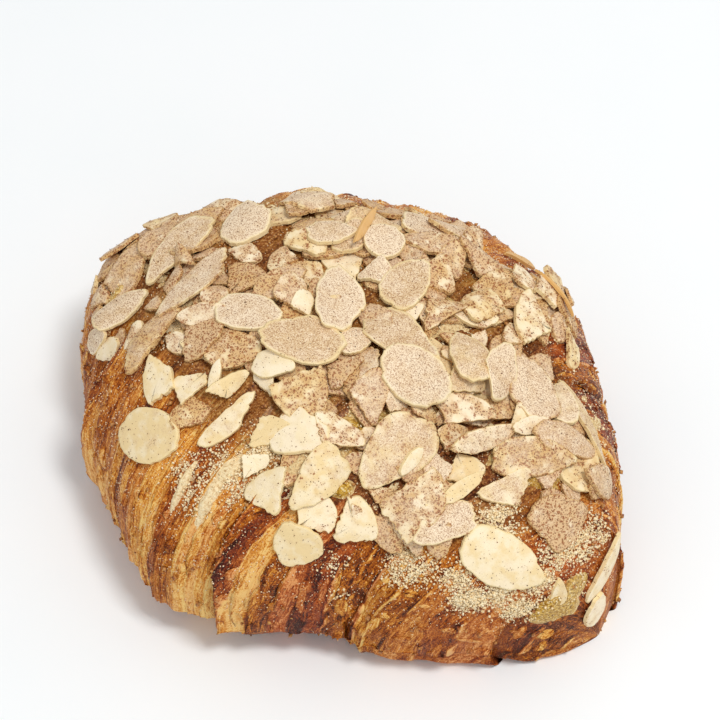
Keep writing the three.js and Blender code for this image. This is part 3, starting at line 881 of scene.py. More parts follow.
def brownness(s, angle):
    """How dark the crust is baked, from 0 to 1, with painted shade beside the layers' edges."""
    line = wandering_line(s, angle)
    around = angle * ROUND_RADIUS
    layer, lip, shown = dough_layers(s, angle)
    strong = layer_setting(s, STRENGTH)
    broad = swing(line / 8, around / 26, 21)
    streak = swing(line / 1.3, around / 8, 24)
    mottle = swing(line / 3.0, around / 4, 30)
    # Painted shade on each layer just before its edge, then the paler cut dough at the edge itself.
    edge = strong * shown * (0.3 * smoothstep(lip, 0.6, 0.88) - 0.75 * smoothstep(lip, 0.88, 0.95))
    calm = 1.25 - 0.55 * strong
    tone = 0.4 + calm * (0.28 * broad + 0.24 * streak + 0.1 * mottle) + edge
    tone = tone + 0.55 * strong * (lattice(layer, 0, LAYER_TONE_SEED) - 0.5)
    tone = tone + bands(s, angle, BROWN_BANDS)
    return np.clip(tone, 0, 1)


def redness(s, angle):
    """How far the crust is from amber towards a purplish red, from 0 to 1."""
    layer, _, _ = dough_layers(s, angle)
    broad = swing(layer_line(s, angle) / 12, angle * ROUND_RADIUS / 25, 36)
    strong = layer_setting(s, STRENGTH)
    red = 0.2 + 1.2 * strong * (lattice(layer, 0, LAYER_RED_SEED) - 0.45) + 0.25 * broad
    red = red + bands(s, angle, RED_BANDS)
    return np.clip(red, 0, 1)


def crevice_shade(s, angle):
    """How deep in the fold beside a turn's edge a place is, from 0 to 1: the share of painted shade
    there.
    """
    tuck, _ = tuck_share(angle)
    deepest = np.zeros(np.broadcast(s, angle).shape)
    for _, past, depth, _, _, _ in edge_distances(s, over_angle(angle), tuck, True):
        inside = smoothstep(past, 0.2, EDGE_WIDTH) * np.exp(-np.maximum(past, 0) / CREVICE_SHADE_REACH)
        deepest = np.maximum(deepest, inside * np.minimum(depth, 1))
    return deepest


def crust_values(s, angle):
    """What the crust's paint goes by, at each place."""
    over_top = np.sin(angle) + 0.08 * swing(s * HALF_LENGTH / 5, angle * ROUND_RADIUS / 5, 40)
    return {
        "tone": brownness(s, angle),
        "red": redness(s, angle),
        "crevice_shade": crevice_shade(s, angle),
        "paste": smoothstep(over_top, *ALMONDS_FROM_TO) * (1 - smoothstep(np.abs(s), *PASTE_ENDS)),
        "lace": 0 * over_top,
    }


def crust_flow(s, angle):
    """Coordinates along and around the layers."""
    line = wandering_line(s, angle)
    flow = np.stack((line, angle * ROUND_RADIUS, 0 * s), -1)
    return flow.reshape(-1, 3)


def roll_triangles(rows, columns):
    """Triangles of a closed roll: rings of points, and after them its left and its right tip."""
    around = np.arange(columns)
    following = np.roll(around, -1)
    wrapped = np.append(around, 0)
    sides = grid_triangles(rows, columns + 1)
    sides = sides // (columns + 1) * columns + wrapped[sides % (columns + 1)]
    left = np.full(columns, rows * columns)
    last = (rows - 1) * columns
    left_end = np.stack((left, following, around), 1)
    right_end = np.stack((left + 1, last + around, last + following), 1)
    return np.concatenate((sides, left_end, right_end))


def make_crust(grid, material):
    s, angle = crossed(crowded(np.linspace(-1, 1, CRUST_RINGS + 2)[1:-1]), crust_angles())
    points = crust_point(s, angle, fine_relief(s, angle), overhang(s, angle), ragged=True)
    faces = roll_triangles(*s.shape)
    tips = crust_point(np.array((-1.0, 1.0)), np.array((QUARTER, QUARTER)))
    values = crust_values(s, angle)
    streaks = fractal(wandering_line(s, angle) / 2.2, angle * ROUND_RADIUS / 9, 80)
    values["lace"] = patch_strength(points, LACE_PATCHES, grid) * (0.2 + 1.4 * streaks)
    values["tone"] = values["tone"] + patch_strength(points, BARE_SPOTS, grid)
    values = {key: np.append(value.ravel(), (0.5, 0.5)) for key, value in values.items()}
    flow = np.concatenate((crust_flow(s, angle), np.zeros((2, 3))))
    points = np.concatenate((points.reshape(-1, 3), tips))
    piece = make_piece("crust", points, faces, material, "crust", values, flow)
    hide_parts(NODE)
    return points, faces, values


# Sliced almonds.


class Bed:
    """What already lies on the loaf: its depth over the crust, by place along and around the roll."""

    def __init__(self):
        self.rows = int(LENGTH / BED_CELL)
        self.columns = int(math.pi * ROUND_RADIUS / BED_CELL)
        s = (np.arange(self.rows) + 0.5) / self.rows * 2 - 1
        angle = (np.arange(self.columns) + 0.5) / self.columns * math.pi
        s, angle = crossed(s, angle)
        self.bare = ridges(s, over_angle(angle)) + fine_relief(s, angle)
        self.depth = self.bare.copy()

    def cells(self, s, angle):
        row = np.clip(((s + 1) / 2 * self.rows).astype(int), 0, self.rows - 1)
        column = np.clip((angle / math.pi * self.columns).astype(int), 0, self.columns - 1)
        return row, column

    def at(self, s, angle):
        return self.depth[self.cells(s, angle)]

    def laid(self, s, angle):
        """How deep the slices lie at a place."""
        cell = self.cells(np.array(s), np.array(angle))
        return self.depth[cell] - self.bare[cell]

    def near(self, s, angle):
        """Whether a slice lies within a few millimetres."""
        turns = np.linspace(0, 2 * math.pi, 12)
        around = angle + CLEAR_AROUND / ROUND_RADIUS * np.sin(turns)
        cells = self.cells(s + CLEAR_ALONG / HALF_LENGTH * np.cos(turns), around)
        return (self.depth[cells] > self.bare[cells]).any()

    def cover(self, s, angle, depth):
        np.maximum.at(self.depth, self.cells(s, angle), np.minimum(depth, BED_DEEPEST))


def flake_outline(shape, random):
    """A slice's rim, from -1 to 1 along and across it, with its pointed end towards +1."""
    turn = np.linspace(0, 2 * math.pi, FLAKE_SIDES, endpoint=False)
    x = np.cos(turn)
    y = np.sin(turn) * (1 - FLAKE_POINTS[shape] * np.cos(turn))
    if shape in ("sliver", "toasted"):
        y = y * np.abs(np.sin(turn)) ** SLIVER_POWER
    rim = np.ones(FLAKE_SIDES)
    waviness = ROUND_WAVES if shape == "round" else 1.0
    for waves, height in FLAKE_RIM_WAVES:
        rim = rim + waviness * height * np.sin(waves * turn + random.uniform(0, 2 * math.pi))
    for _ in range(random.integers(1, 4)):
        away = np.abs((turn - random.uniform(0, 2 * math.pi) + math.pi) % (2 * math.pi) - math.pi)
        rim = rim - random.uniform(*NICK_DEPTH) * bell(away, random.uniform(*NICK_WIDTH))
    rim = rim + random.normal(0, FLAKE_JAGGED, FLAKE_SIDES)
    x, y = x * rim, y * rim
    first = random.uniform(0.7, 1.3) * math.pi
    cuts = FEWEST_CUTS[shape] + random.integers(2) if shape in FEWEST_CUTS else 0
    for cut in range(cuts):
        facing = first + cut * random.uniform(1.6, 2.6)
        least = 0.8 if shape == "almond" else 0.5
        keep = random.uniform(least, least + 0.25) + random.uniform(-CUT_JAGGED, CUT_JAGGED, FLAKE_SIDES)
        beyond = np.maximum(0, x * math.cos(facing) + y * math.sin(facing) - keep)
        x = x - beyond * math.cos(facing)
        y = y - beyond * math.sin(facing)
    return x, y


def flake_triangles():
    """The triangles of a slice: its face as a fan and rings, a fan for the underside, and walls."""
    around = np.arange(FLAKE_SIDES)
    following = np.roll(around, -1)
    middle = np.zeros(FLAKE_SIDES, int)
    rings = [1 + ring * FLAKE_SIDES + around for ring in range(len(FLAKE_RINGS))]
    under = 1 + len(FLAKE_RINGS) * FLAKE_SIDES
    below = under + 1
    faces = [np.stack((middle, 1 + around, 1 + following), 1)]
    faces += [strip_triangles(inner, outer) for inner, outer in zip(rings, rings[1:])]
    faces.append(np.stack((under + middle, below + following, below + around), 1))
    return np.concatenate(faces), strip_triangles(rings[-1], below + around)


class Spot:
    """A place on the loaf, with the crust's directions there."""

    def __init__(self, s, angle):
        self.s = s
        self.angle = angle
        self.point = smooth_point(s, angle)
        self.along, self.around, self.out = tangents(s, angle)

    def below(self, points):
        """Places on the loaf under points near the spot, and how far the crust rises there."""
        inverse = np.linalg.pinv(np.stack((self.along, self.around), 1)).T
        offset = (points - self.point) @ inverse
        for _ in range(2):
            angle = np.clip(self.angle + offset[:, 1], *UPPER_ANGLES)
            there = smooth_point(self.s + offset[:, 0], angle)
            offset = offset + (points - there) @ inverse
        s = np.clip(self.s + offset[:, 0], -ROLL_LIMIT, ROLL_LIMIT)
        angle = np.clip(self.angle + offset[:, 1], *UPPER_ANGLES)
        there = smooth_point(s, angle)
        return (s, angle), (there - self.point) @ self.out


class Almonds:
    """The slices laid so far, as one growing mesh."""

    def __init__(self, bed, random):
        self.bed = bed
        self.random = random
        self.points = []
        self.triangles = []
        self.sharp = []
        self.values = {key: [] for key in ("dust", "spice", "toast", "rim", "tone")}
        self.middles = []
        self.faces, self.walls = flake_triangles()
        self.rim = np.concatenate(((0.0,), np.repeat(FLAKE_RINGS, FLAKE_SIDES)))
        self.under = np.concatenate(((0,), np.arange(len(self.rim) - FLAKE_SIDES, len(self.rim))))

    def clear_of(self, place, spacing):
        if not self.middles:
            return True
        return np.linalg.norm(np.array(self.middles) - place, axis=1).min() > spacing

    def lay(self, spot, heading, length, width, shape, dust, spice, stand=0.0, bedding=BEDDING):
        """Lays one slice on what is there, bent a little to follow it, or stands it on its edge."""
        out = spot.out
        heading = heading - out * (heading @ out)
        heading = heading / np.linalg.norm(heading)
        aside = np.cross(out, heading)
        rim_x, rim_y = flake_outline(shape, self.random)
        x = length / 2 * np.concatenate(((0.0,), np.outer(FLAKE_RINGS, rim_x).ravel()))
        y = width / 2 * np.concatenate(((0.0,), np.outer(FLAKE_RINGS, rim_y).ravel()))
        flat = spot.point + x[:, None] * heading + y[:, None] * aside
        places, rise = spot.below(flat)
        height = self.settled(x, y, rise + self.bed.at(*places), bedding)
        points = flat + height[:, None] * out
        if stand:
            turn = math.radians(stand)
            lift = math.sin(turn) * width * STAND_LIFT
            tipped = aside * math.cos(turn) + out * math.sin(turn)
            points = spot.point + x[:, None] * heading + y[:, None] * tipped
            points = points + (height.mean() + lift) * out
            out = np.cross(heading, tipped)
        else:
            self.cover(spot, points)
        half = FLAKE_THICKNESS / 2 * np.where(self.rim < FLAKE_FACE, 1.0, FLAKE_EDGE)
        half = half * self.random.uniform(*FLAKE_THICKER)
        offset = half[:, None] * out
        toast = 1.0 if shape == "toasted" else 0.0
        self.add(points + offset, (points - offset)[self.under], dust, spice, toast)
        self.middles.append(spot.point)

    def settled(self, x, y, depth, bedding):
        """The height of a slice's middle layer over what lies below it: a plane that gives way to
        the curve below, raised until little of it is under that."""
        tip, drape, touch = bedding
        ones = np.ones_like(x)
        plane = np.stack((ones, x, y), 1)
        bent = np.stack((ones, x, y, x * x, x * y, y * y), 1)
        level, slope_x, slope_y = np.linalg.lstsq(plane, depth, rcond=None)[0]
        slope_x = np.clip(slope_x, -FLAKE_STEEPEST, FLAKE_STEEPEST)
        slope_y = np.clip(slope_y, -FLAKE_STEEPEST, FLAKE_STEEPEST)
        tilted = level + slope_x * x + slope_y * y
        curve = np.linalg.lstsq(bent, depth, rcond=None)[0]
        curve[[3, 5]] = np.minimum(curve[[3, 5]], FLAKE_HOLLOW)
        curved = bent @ curve
        height = tilted + drape * np.clip(curved - tilted, -FLAKE_GIVE, FLAKE_GIVE)
        tip_x, tip_y = self.random.normal(0, tip, 2)
        start = self.random.uniform(0, 100)
        height = height + tip_x * x + tip_y * y + FLAKE_WAVE * swing(x / 4 + start, y / 4, 45, 2)
        return height + np.quantile(depth - height, touch) + FLAKE_THICKNESS / 2

    def cover(self, spot, points):
        """Raises the bed to the top of a slice whose middle layer has these points."""
        shares = np.linspace(*COVER_SHARES)
        inner = points[0] + shares[:, None, None] * (points[-FLAKE_SIDES:] - points[0])
        inner = inner.reshape(-1, 3)
        places, rise = spot.below(inner)
        self.bed.cover(*places, (inner - spot.point) @ spot.out + FLAKE_THICKNESS / 2 - rise)

    def add(self, top, bottom, dust, spice, toast):
        count = len(top) + len(bottom)
        start = len(self.points) * count
        self.points.append(np.concatenate((top, bottom)))
        self.triangles.append(np.concatenate((self.faces, self.walls)) + start)
        self.sharp.append(np.repeat((False, True), (len(self.faces), len(self.walls))))
        settings = {"dust": dust, "spice": spice, "toast": toast, "tone": self.random.random()}
        for key, value in settings.items():
            self.values[key].append(np.full(count, value))
        self.values["rim"].append(np.concatenate((self.rim, self.rim[self.under])))

    def finish(self, material):
        points = np.concatenate(self.points)
        triangles = np.concatenate(self.triangles)
        values = {key: np.concatenate(value) for key, value in self.values.items()}
        sharp = np.concatenate(self.sharp)
        make_piece("sliced_almonds", points, triangles, material, "almond", values, sharp=sharp)
        return (points, triangles), self.bed


def far_limit(s):
    return np.radians(np.interp(s, FAR_LIMIT_PLACES, FAR_LIMIT_DEGREES))


def near_limit(s):
    return np.radians(np.interp(s, NEAR_LIMIT_PLACES, NEAR_LIMIT_DEGREES))


def strew(almonds, kind, wanted):
    """Lays slices of one kind at random places that are wanted, and clear of others."""
    random = almonds.random
    laid = 0
    for _ in range(kind["count"] * STREWN_TRIES):
        if laid == kind["count"]:
            break
        s = random.uniform(*STREWN_WITHIN)
        angle = random.uniform(far_limit(s), near_limit(s))
        length = random.uniform(*kind["lengths"])
        if almonds.bed.laid(s, angle) > kind["deepest"]:
            continue
        spot = Spot(s, angle)
        if not wanted(spot, length) or not almonds.clear_of(spot.point, kind["spacing"]):
            continue
        turn = random.uniform(0, 2 * math.pi)
        heading = math.cos(turn) * spot.along / np.linalg.norm(spot.along)
        heading = heading + math.sin(turn) * spot.around / np.linalg.norm(spot.around)
        width = length * random.uniform(*STREWN_WIDTH)
        shape = STREWN_SHAPES[random.integers(len(STREWN_SHAPES))]
        dust = random.uniform(*kind["dusts"])
        spice = random.uniform(*kind["spices"])
        almonds.lay(spot, heading, length, width, shape, dust, spice, bedding=kind["bedding"])
        laid += 1


def make_almonds(grid, material):
    almonds = Almonds(Bed(), np.random.default_rng(SEED))
    bare = [(crust_point(*seen_place(grid, x, y)), reach) for x, y, reach, _ in BARE_SPOTS]

    def clear(spot, length):
        place = crust_point(spot.s, spot.angle)
        return all(np.linalg.norm(place - middle) > reach + length / 2 for middle, reach in bare)

    def under(spot, length):
        inside = spot.angle < near_limit(spot.s) - UNDER_MARGIN
        return inside and spot.out @ BACK > SEEN_WELL and clear(spot, length)

    def hidden(spot, length):
        return spot.out @ BACK < TURNED_AWAY and clear(spot, length)

    strew(almonds, UNDER, under)
    almonds.middles = []
    for across, down, length, width, degrees, shape, dust, spice, *stand in SHOWN_FLAKES:
        spot = Spot(*seen_place(grid, across, down))
        heading = seen_heading(across, down, spot.out, degrees)
        almonds.lay(spot, heading, length, width, shape, dust, spice, *stand)
    strew(almonds, HIDDEN, hidden)
    return almonds.finish(material)


# Almond cream.


def cream_height(s, angle, points, grid):
    """The cream's height over the crust, below 0 where there is none, and its moistness."""
    along = s * HALF_LENGTH
    around = angle * ROUND_RADIUS
    lumps = 0.7 * swing(along / 7, around / 7, 50) + 0.3 * swing(along / 1.8, around / 1.8, 54)
    inside = smoothstep(near_limit(s) - angle, *CREAM_NEAR) * smoothstep(angle, *CREAM_FAR)
    inside = inside * (1 - smoothstep(np.abs(s), *CREAM_ENDS))
    height = np.minimum(lumps, CREAM_FILM) * inside - 1.2 * (1 - inside)
    spots = [(across, down, reach, 1.0) for across, down, reach, _ in BARE_SPOTS]
    height = height - 2 * patch_strength(points, spots, grid)
    moist = np.clip(0.5 + 1.2 * swing(along / 12, around / 12, 58), 0, 1)
    for across, down, length, width, degrees, rise, wetness in CREAM_PATCHES:
        place = seen_place(grid, across, down)
        middle = crust_point(*place)
        _, _, out = tangents(*place)
        heading = seen_heading(across, down, out, degrees)
        x = (points - middle) @ heading / (length / 2)
        y = (points - middle) @ np.cross(out, heading) / (width / 2)
        z = (points - middle) @ out / length
        ragged = 1 + 0.5 * swing(points @ RIGHT / 2.6, points @ UP / 2.6, 62)
        bump = np.exp(-(x * x + y * y) * ragged - z * z)
        height = np.maximum(height, (1.6 * bump - 0.6) * rise)
        moist = moist + (wetness - moist) * smoothstep(bump, 0.2, 0.6)
    return height, moist


def make_cream(grid, material):
    places = crowded(np.linspace(*CREAM_WITHIN, CREAM_RINGS))
    s, angle = crossed(places, np.linspace(*CREAM_ANGLES, CREAM_STEPS))
    smooth = crust_point(s, angle)
    height, moist = cream_height(s, angle, smooth, grid)
    grains = 0.25 * swing(smooth @ RIGHT / 2.2, smooth @ UP / 2.2, 66, 1)
    settled = 0.5 * fine_relief(s, angle) * (1 - smoothstep(height, 0.2, 1.0))
    top = crust_point(s, angle, height + grains + settled).reshape(-1, 3)
    bottom = crust_point(s, angle, settled - CREAM_UNDER).reshape(-1, 3)
    triangles = grid_triangles(*s.shape)
    shown = (height.ravel()[triangles] > CREAM_THINNEST).any(1)
    used, triangles = np.unique(triangles[shown], return_inverse=True)
    triangles = triangles.reshape(-1, 3)
    points = np.concatenate((top[used], bottom[used]))
    values = {"moist": np.tile(moist.ravel()[used], 2)}
    shell = shell_triangles(triangles, len(used))
    make_piece("almond_cream", points, shell, material, "cream", values)
    return points, triangles


# Loose layers of crust.


def loose_layer(s, angle, length, width, lift, u, v, random):
    """One torn layer that lies along the others, with one edge lifted: its top and underside."""
    taper = (1 - np.abs(u) ** random.uniform(1.3, 3.5)) ** 0.8
    frayed = 1 + 0.3 * swing(4 * u + 50 * s, 1.5 * v, 70)
    turn = u * length / 2 / ROUND_RADIUS
    place_angle = angle + turn * (1 + 0.08 * swing(v * 3, s * 40 + u, 73, 2))
    lean = layer_lean(s) * ROUND_RADIUS * turn
    place_s = s + (v * taper * frayed * width / 2 - lean) / HALF_LENGTH
    rightward = smoothstep(s, *LAYERS_FACE_LEFT_RIGHT)
    raised = (1 + (2 * rightward - 1) * v) / 2
    curl = lift * raised**2 * taper * (1 + 0.4 * swing(3 * u + 9 * s, v, 76, 2)) + 0.1
    place_angle = np.where(place_angle < 0, place_angle + 4 * QUARTER, place_angle)
    base = fine_relief(place_s, place_angle)
    slide = overhang(place_s, place_angle)
    top = crust_point(place_s, place_angle, base + curl, slide, ragged=True)
    under = crust_point(place_s, place_angle, base + curl - LOOSE_THICKNESS, slide, ragged=True)
    return place_s, place_angle, np.concatenate((top.reshape(-1, 3), under.reshape(-1, 3)))


def loose_layer_places(grid, bed, random):
    """Place, size, lift and brownness of each torn layer; one at random is about as the crust."""
    for across, down, length, width, lift, tone in SHOWN_LAYERS:
        yield *seen_place(grid, across, down), length, width, lift, tone
    strips = (LOOSE_COUNT, LOOSE_LENGTH, LOOSE_WIDTH)
    chips = (CHIP_COUNT, CHIP_LENGTH, CHIP_WIDTH)
    for count, lengths, widths in (strips, chips):
        for _ in range(count):
            s = random.uniform(*LOOSE_WITHIN)
            near = random.random() < LOOSE_NEAR_SHARE
            angle = random.uniform(*(LOOSE_NEAR if near else LOOSE_FAR))
            if bed.near(s, angle):
                continue
            length = random.uniform(*lengths) * (1 - 0.6 * abs(s))
            yield s, angle, length, random.uniform(*widths), random.uniform(*LOOSE_LIFT), None


def make_loose_layers(grid, bed, material):
    random = np.random.default_rng(SEED + 1)
    steps_along, steps_across = LOOSE_STEPS
    u, v = crossed(np.linspace(-1, 1, steps_along), np.linspace(-1, 1, steps_across))
    shell = shell_triangles(grid_triangles(steps_along, steps_across), u.size)
    points, triangles, flow = [], [], []
    values = {key: [] for key in ("tone", "red", "crevice_shade", "paste", "lace")}
    for s, angle, length, width, lift, tone in loose_layer_places(grid, bed, random):
        place_s, place_angle, sheet = loose_layer(s, angle, length, width, lift, u, v, random)
        triangles.append(shell + len(points) * 2 * u.size)
        points.append(sheet)
        flow.append(np.tile(crust_flow(place_s, place_angle), (2, 1)))
        settings = crust_values(place_s, place_angle)
        paler = random.uniform(*LOOSE_TONE)
        streaks = 0.5 * (settings["tone"] - settings["tone"].mean())
        shade = settings["tone"] + paler if tone is None else tone + streaks
        settings["tone"] = np.clip(shade, 0, 1)
        settings["crevice_shade"] = 0 * u
        for key, value in settings.items():
            values[key].append(np.tile(value.ravel(), 2))
    points = np.concatenate(points)
    points[:, 2] = np.maximum(points[:, 2], LOOSE_LOWEST)
    values = {key: np.concatenate(value) for key, value in values.items()}
    triangles = np.concatenate(triangles)
    make_piece("loose_layers", points, triangles, material, "crust", values, np.concatenate(flow))


# Grains and crumbs.


def random_turns(count, random):
    """Rotation matrices that face every way alike."""
    w, x, y, z = random.normal(size=(4, count))
    size = np.sqrt(w * w + x * x + y * y + z * z)
    w, x, y, z = w / size, x / size, y / size, z / size
    rows = (
        (1 - 2 * (y * y + z * z), 2 * (x * y - z * w), 2 * (x * z + y * w)),
        (2 * (x * y + z * w), 1 - 2 * (x * x + z * z), 2 * (y * z - x * w)),
        (2 * (x * z - y * w), 2 * (y * z + x * w), 1 - 2 * (x * x + y * y)),
    )
    return np.moveaxis(np.array(rows), 2, 0)


def face_normals(surface):
    """Each triangle's corners, and its normal, as long as twice its area."""
    points, triangles = surface
    corners = points[triangles]
    return corners, np.cross(corners[:, 1] - corners[:, 0], corners[:, 2] - corners[:, 0])


def scattered(surface, weights, count, sizes, random):
    """Grains strewn over a surface's triangles: points and triangles of one mesh."""
    corners, normal = face_normals(surface)
    area = np.linalg.norm(normal, axis=1)
    chance = area * weights
    chosen = random.choice(len(corners), count, p=chance / chance.sum())
    a, b = random.random((2, count))
    flip = a + b > 1
    a, b = np.where(flip, 1 - a, a), np.where(flip, 1 - b, b)
    first, second, third = (corners[chosen, corner] for corner in range(3))
    spot = first + a[:, None] * (second - first) + b[:, None] * (third - first)
    out = normal[chosen] / area[chosen, None]
    size = random.uniform(*sizes, count) * random.uniform(0.6, 1.0, count)
    shape = OCTAHEDRON[0] * random.uniform(0.55, 1.2, (count, 1, 3))
    shape = shape + random.uniform(-0.15, 0.15, (count, len(OCTAHEDRON[0]), 3))
    turned = np.einsum("nij,nkj->nki", random_turns(count, random), shape * size[:, None, None])
    grains = turned + (spot + out * (size * (1 - GRAIN_SUNK))[:, None])[:, None]
    faces = OCTAHEDRON[1] + (np.arange(count) * len(OCTAHEDRON[0]))[:, None, None]
    return grains.reshape(-1, 3), faces.reshape(-1, 3)


def facing_up(surface, least):
    _, normal = face_normals(surface)
    return normal[:, 2] > least * np.linalg.norm(normal, axis=1)


def joined(first, second):
    """Two meshes as one."""
    points = np.concatenate((first[0], second[0]))
    return points, np.concatenate((first[1], second[1] + len(first[0])))


def make_grains(crust, crust_shares, almonds, lumps):
    random = np.random.default_rng(SEED + 2)
    points, triangles = crust
    paste, lace = (crust_shares[key][triangles].mean(1) for key in ("paste", "lace"))
    height = points[triangles][:, :, 2].mean(1)
    clear_of_floor = height > GRAINS_FROM
    sugared = (0.04 + smoothstep(height, *SUGARED_FROM_TO)) * (1.0 - 0.5 * paste)
    on_crust = scattered(crust, clear_of_floor * sugared, SUGAR_COUNT, SUGAR_SIZE, random)
    make_piece("sugar", *on_crust, grain_paint("sugar_grain", SUGAR_COLOURS, 0.25), "cream")
    on_lace = scattered(crust, lace**2, LACE_CRUMB_COUNT, LACE_CRUMB_SIZE, random)
    on_lumps = scattered(lumps, facing_up(lumps, 0.1), LUMP_CRUMB_COUNT, LACE_CRUMB_SIZE, random)
    cream = grain_paint("cream_grain", CREAM_CRUMB_COLOURS, 0.5)
    make_piece("cream_crumbs", *joined(on_lace, on_lumps), cream, "cream")
    on_almonds = scattered(almonds, facing_up(almonds, 0.2), SPICE_COUNT, SPICE_SIZE, random)
    make_piece("spice", *on_almonds, grain_paint("spice_grain", SPICE_COLOURS, 0.6), "crust")
    on_both = scattered(crust, clear_of_floor * (0.3 + paste), CRUMB_COUNT, CRUMB_SIZE, random)
    make_piece("crumbs", *on_both, grain_paint("crumb", CRUMB_COLOURS, 0.5), "crust")


# Materials.


def linear(red, green, blue):
    """A colour as seen on a screen, 0 to 255, as the shader's own numbers."""
    shares = (value / 255 for value in (red, green, blue))
    return tuple(c / 12.92 if c < 0.04045 else ((c + 0.055) / 1.055) ** 2.4 for c in shares) + (1.0,)


class Paint:
    """A material's nodes, added by short calls."""

    def __init__(self, name):
        self.material = bpy.data.materials.new(name)
        self.material.use_nodes = True
        self.tree = self.material.node_tree
        self.shader = self.tree.nodes["Principled BSDF"]

    def add(self, kind, inputs, **settings):
        node = self.tree.nodes.new(kind)
        for key, value in settings.items():
            setattr(node, key, value)
        for key, value in inputs.items():
            self.feed(node.inputs[key], value)
        return node

    def feed(self, socket, value):
        if isinstance(value, bpy.types.NodeSocket):
            self.tree.links.new(value, socket)
        else:
            socket.default_value = value

    def value(self, name):
        return self.add("ShaderNodeAttribute", {}, attribute_name=name).outputs["Fac"]

    def flow(self, along, around):
        """Coordinates along and around the roll, in steps of these many millimetres."""
        flow = self.add("ShaderNodeAttribute", {}, attribute_name="flow").outputs["Vector"]
        scale = (1 / (along * MM), 1 / (around * MM), 1.0)
        return self.add("ShaderNodeMapping", {"Vector": flow, "Scale": scale}).outputs["Vector"]

    def lines(self, along, around, width):
        """Thin lines that wander along the layers."""
        offset = self.minus(self.noise(self.flow(along, around), detail=2.0), 0.5)
        return self.span(self.math("ABSOLUTE", offset, 0.0), 0.0, width, 1.0, 0.0)

    def place(self):
        return self.add("ShaderNodeTexCoord", {}).outputs["Object"]

    def noise(self, vector, scale=1.0, detail=3.0, roughness=0.55):
        inputs = {"Vector": vector, "Scale": scale, "Detail": detail, "Roughness": roughness}
        return self.add("ShaderNodeTexNoise", inputs).outputs["Fac"]

    def grain(self, size, detail=2.0):
        """Even noise whose blots are this many millimetres wide."""
        return self.noise(self.place(), 1 / (size * MM), detail)

    def warped(self, size, share):
        """Places moved about, by a share of blots this many millimetres wide."""
        inputs = {"Vector": self.place(), "Scale": 1 / (size * MM), "Detail": 2.0}
        blots = self.add("ShaderNodeTexNoise", inputs).outputs["Color"]
        inputs = {0: blots, "Scale": share * size * MM}
        moved = self.add("ShaderNodeVectorMath", inputs, operation="SCALE").outputs["Vector"]
        inputs = {0: self.place(), 1: moved}
        return self.add("ShaderNodeVectorMath", inputs, operation="ADD").outputs["Vector"]

    def dots(self, size, density):
        """Uneven dots, one at most in each cell of this many millimetres."""
        inputs = {"Vector": self.warped(size, 1.2), "Scale": 1 / (size * MM)}
        cells = self.add("ShaderNodeTexVoronoi", inputs)
        dot = self.span(cells.outputs["Distance"], 0.3, 0.42, 1.0, 0.0)
        there = self.math("LESS_THAN", cells.outputs["Color"], density)
        return self.times(dot, there)

    def math(self, operation, first, second):
        node = self.add("ShaderNodeMath", {0: first, 1: second}, operation=operation)
        return node.outputs[0]

    def plus(self, first, second):
        return self.math("ADD", first, second)

    def minus(self, first, second):
        return self.math("SUBTRACT", first, second)

    def times(self, first, second):
        return self.math("MULTIPLY", first, second)

    def span(self, value, low, high, new_low=0.0, new_high=1.0):
        """Maps a range smoothly to another, and keeps to it."""
        inputs = {"Value": value, "From Min": low, "From Max": high}
        inputs.update({"To Min": new_low, "To Max": new_high})
        node = self.add("ShaderNodeMapRange", inputs, interpolation_type="SMOOTHSTEP")
        return node.outputs["Result"]

    def ramp(self, value, stops):
        node = self.add("ShaderNodeValToRGB", {"Fac": value})
        elements = node.color_ramp.elements
        while len(elements) < len(stops):
            elements.new(0.5)
        for element, (at, colour) in zip(elements, stops):
            element.position = at
            element.color = linear(*colour)
        return node.outputs["Color"]

    def mix(self, share, first, second):
        node = self.add("ShaderNodeMix", {}, data_type="RGBA")
        self.feed(node.inputs[0], share)
        self.feed(node.inputs[6], first)
        self.feed(node.inputs[7], second)
        return node.outputs[2]

    def tint(self, colour, share, strength, tone):
        """A colour with another over it, by a share and no stronger than the strength."""
        return self.mix(self.times(share, strength), colour, linear(*tone))

    def bump(self, height, distance, strength=1.0):
        inputs = {"Height": height, "Distance": distance * MM, "Strength": strength}
        return self.add("ShaderNodeBump", inputs).outputs["Normal"]

    def finish(self, **sockets):
        for key, value in sockets.items():
            self.feed(self.shader.inputs[key.replace("_", " ")], value)
        return self.material


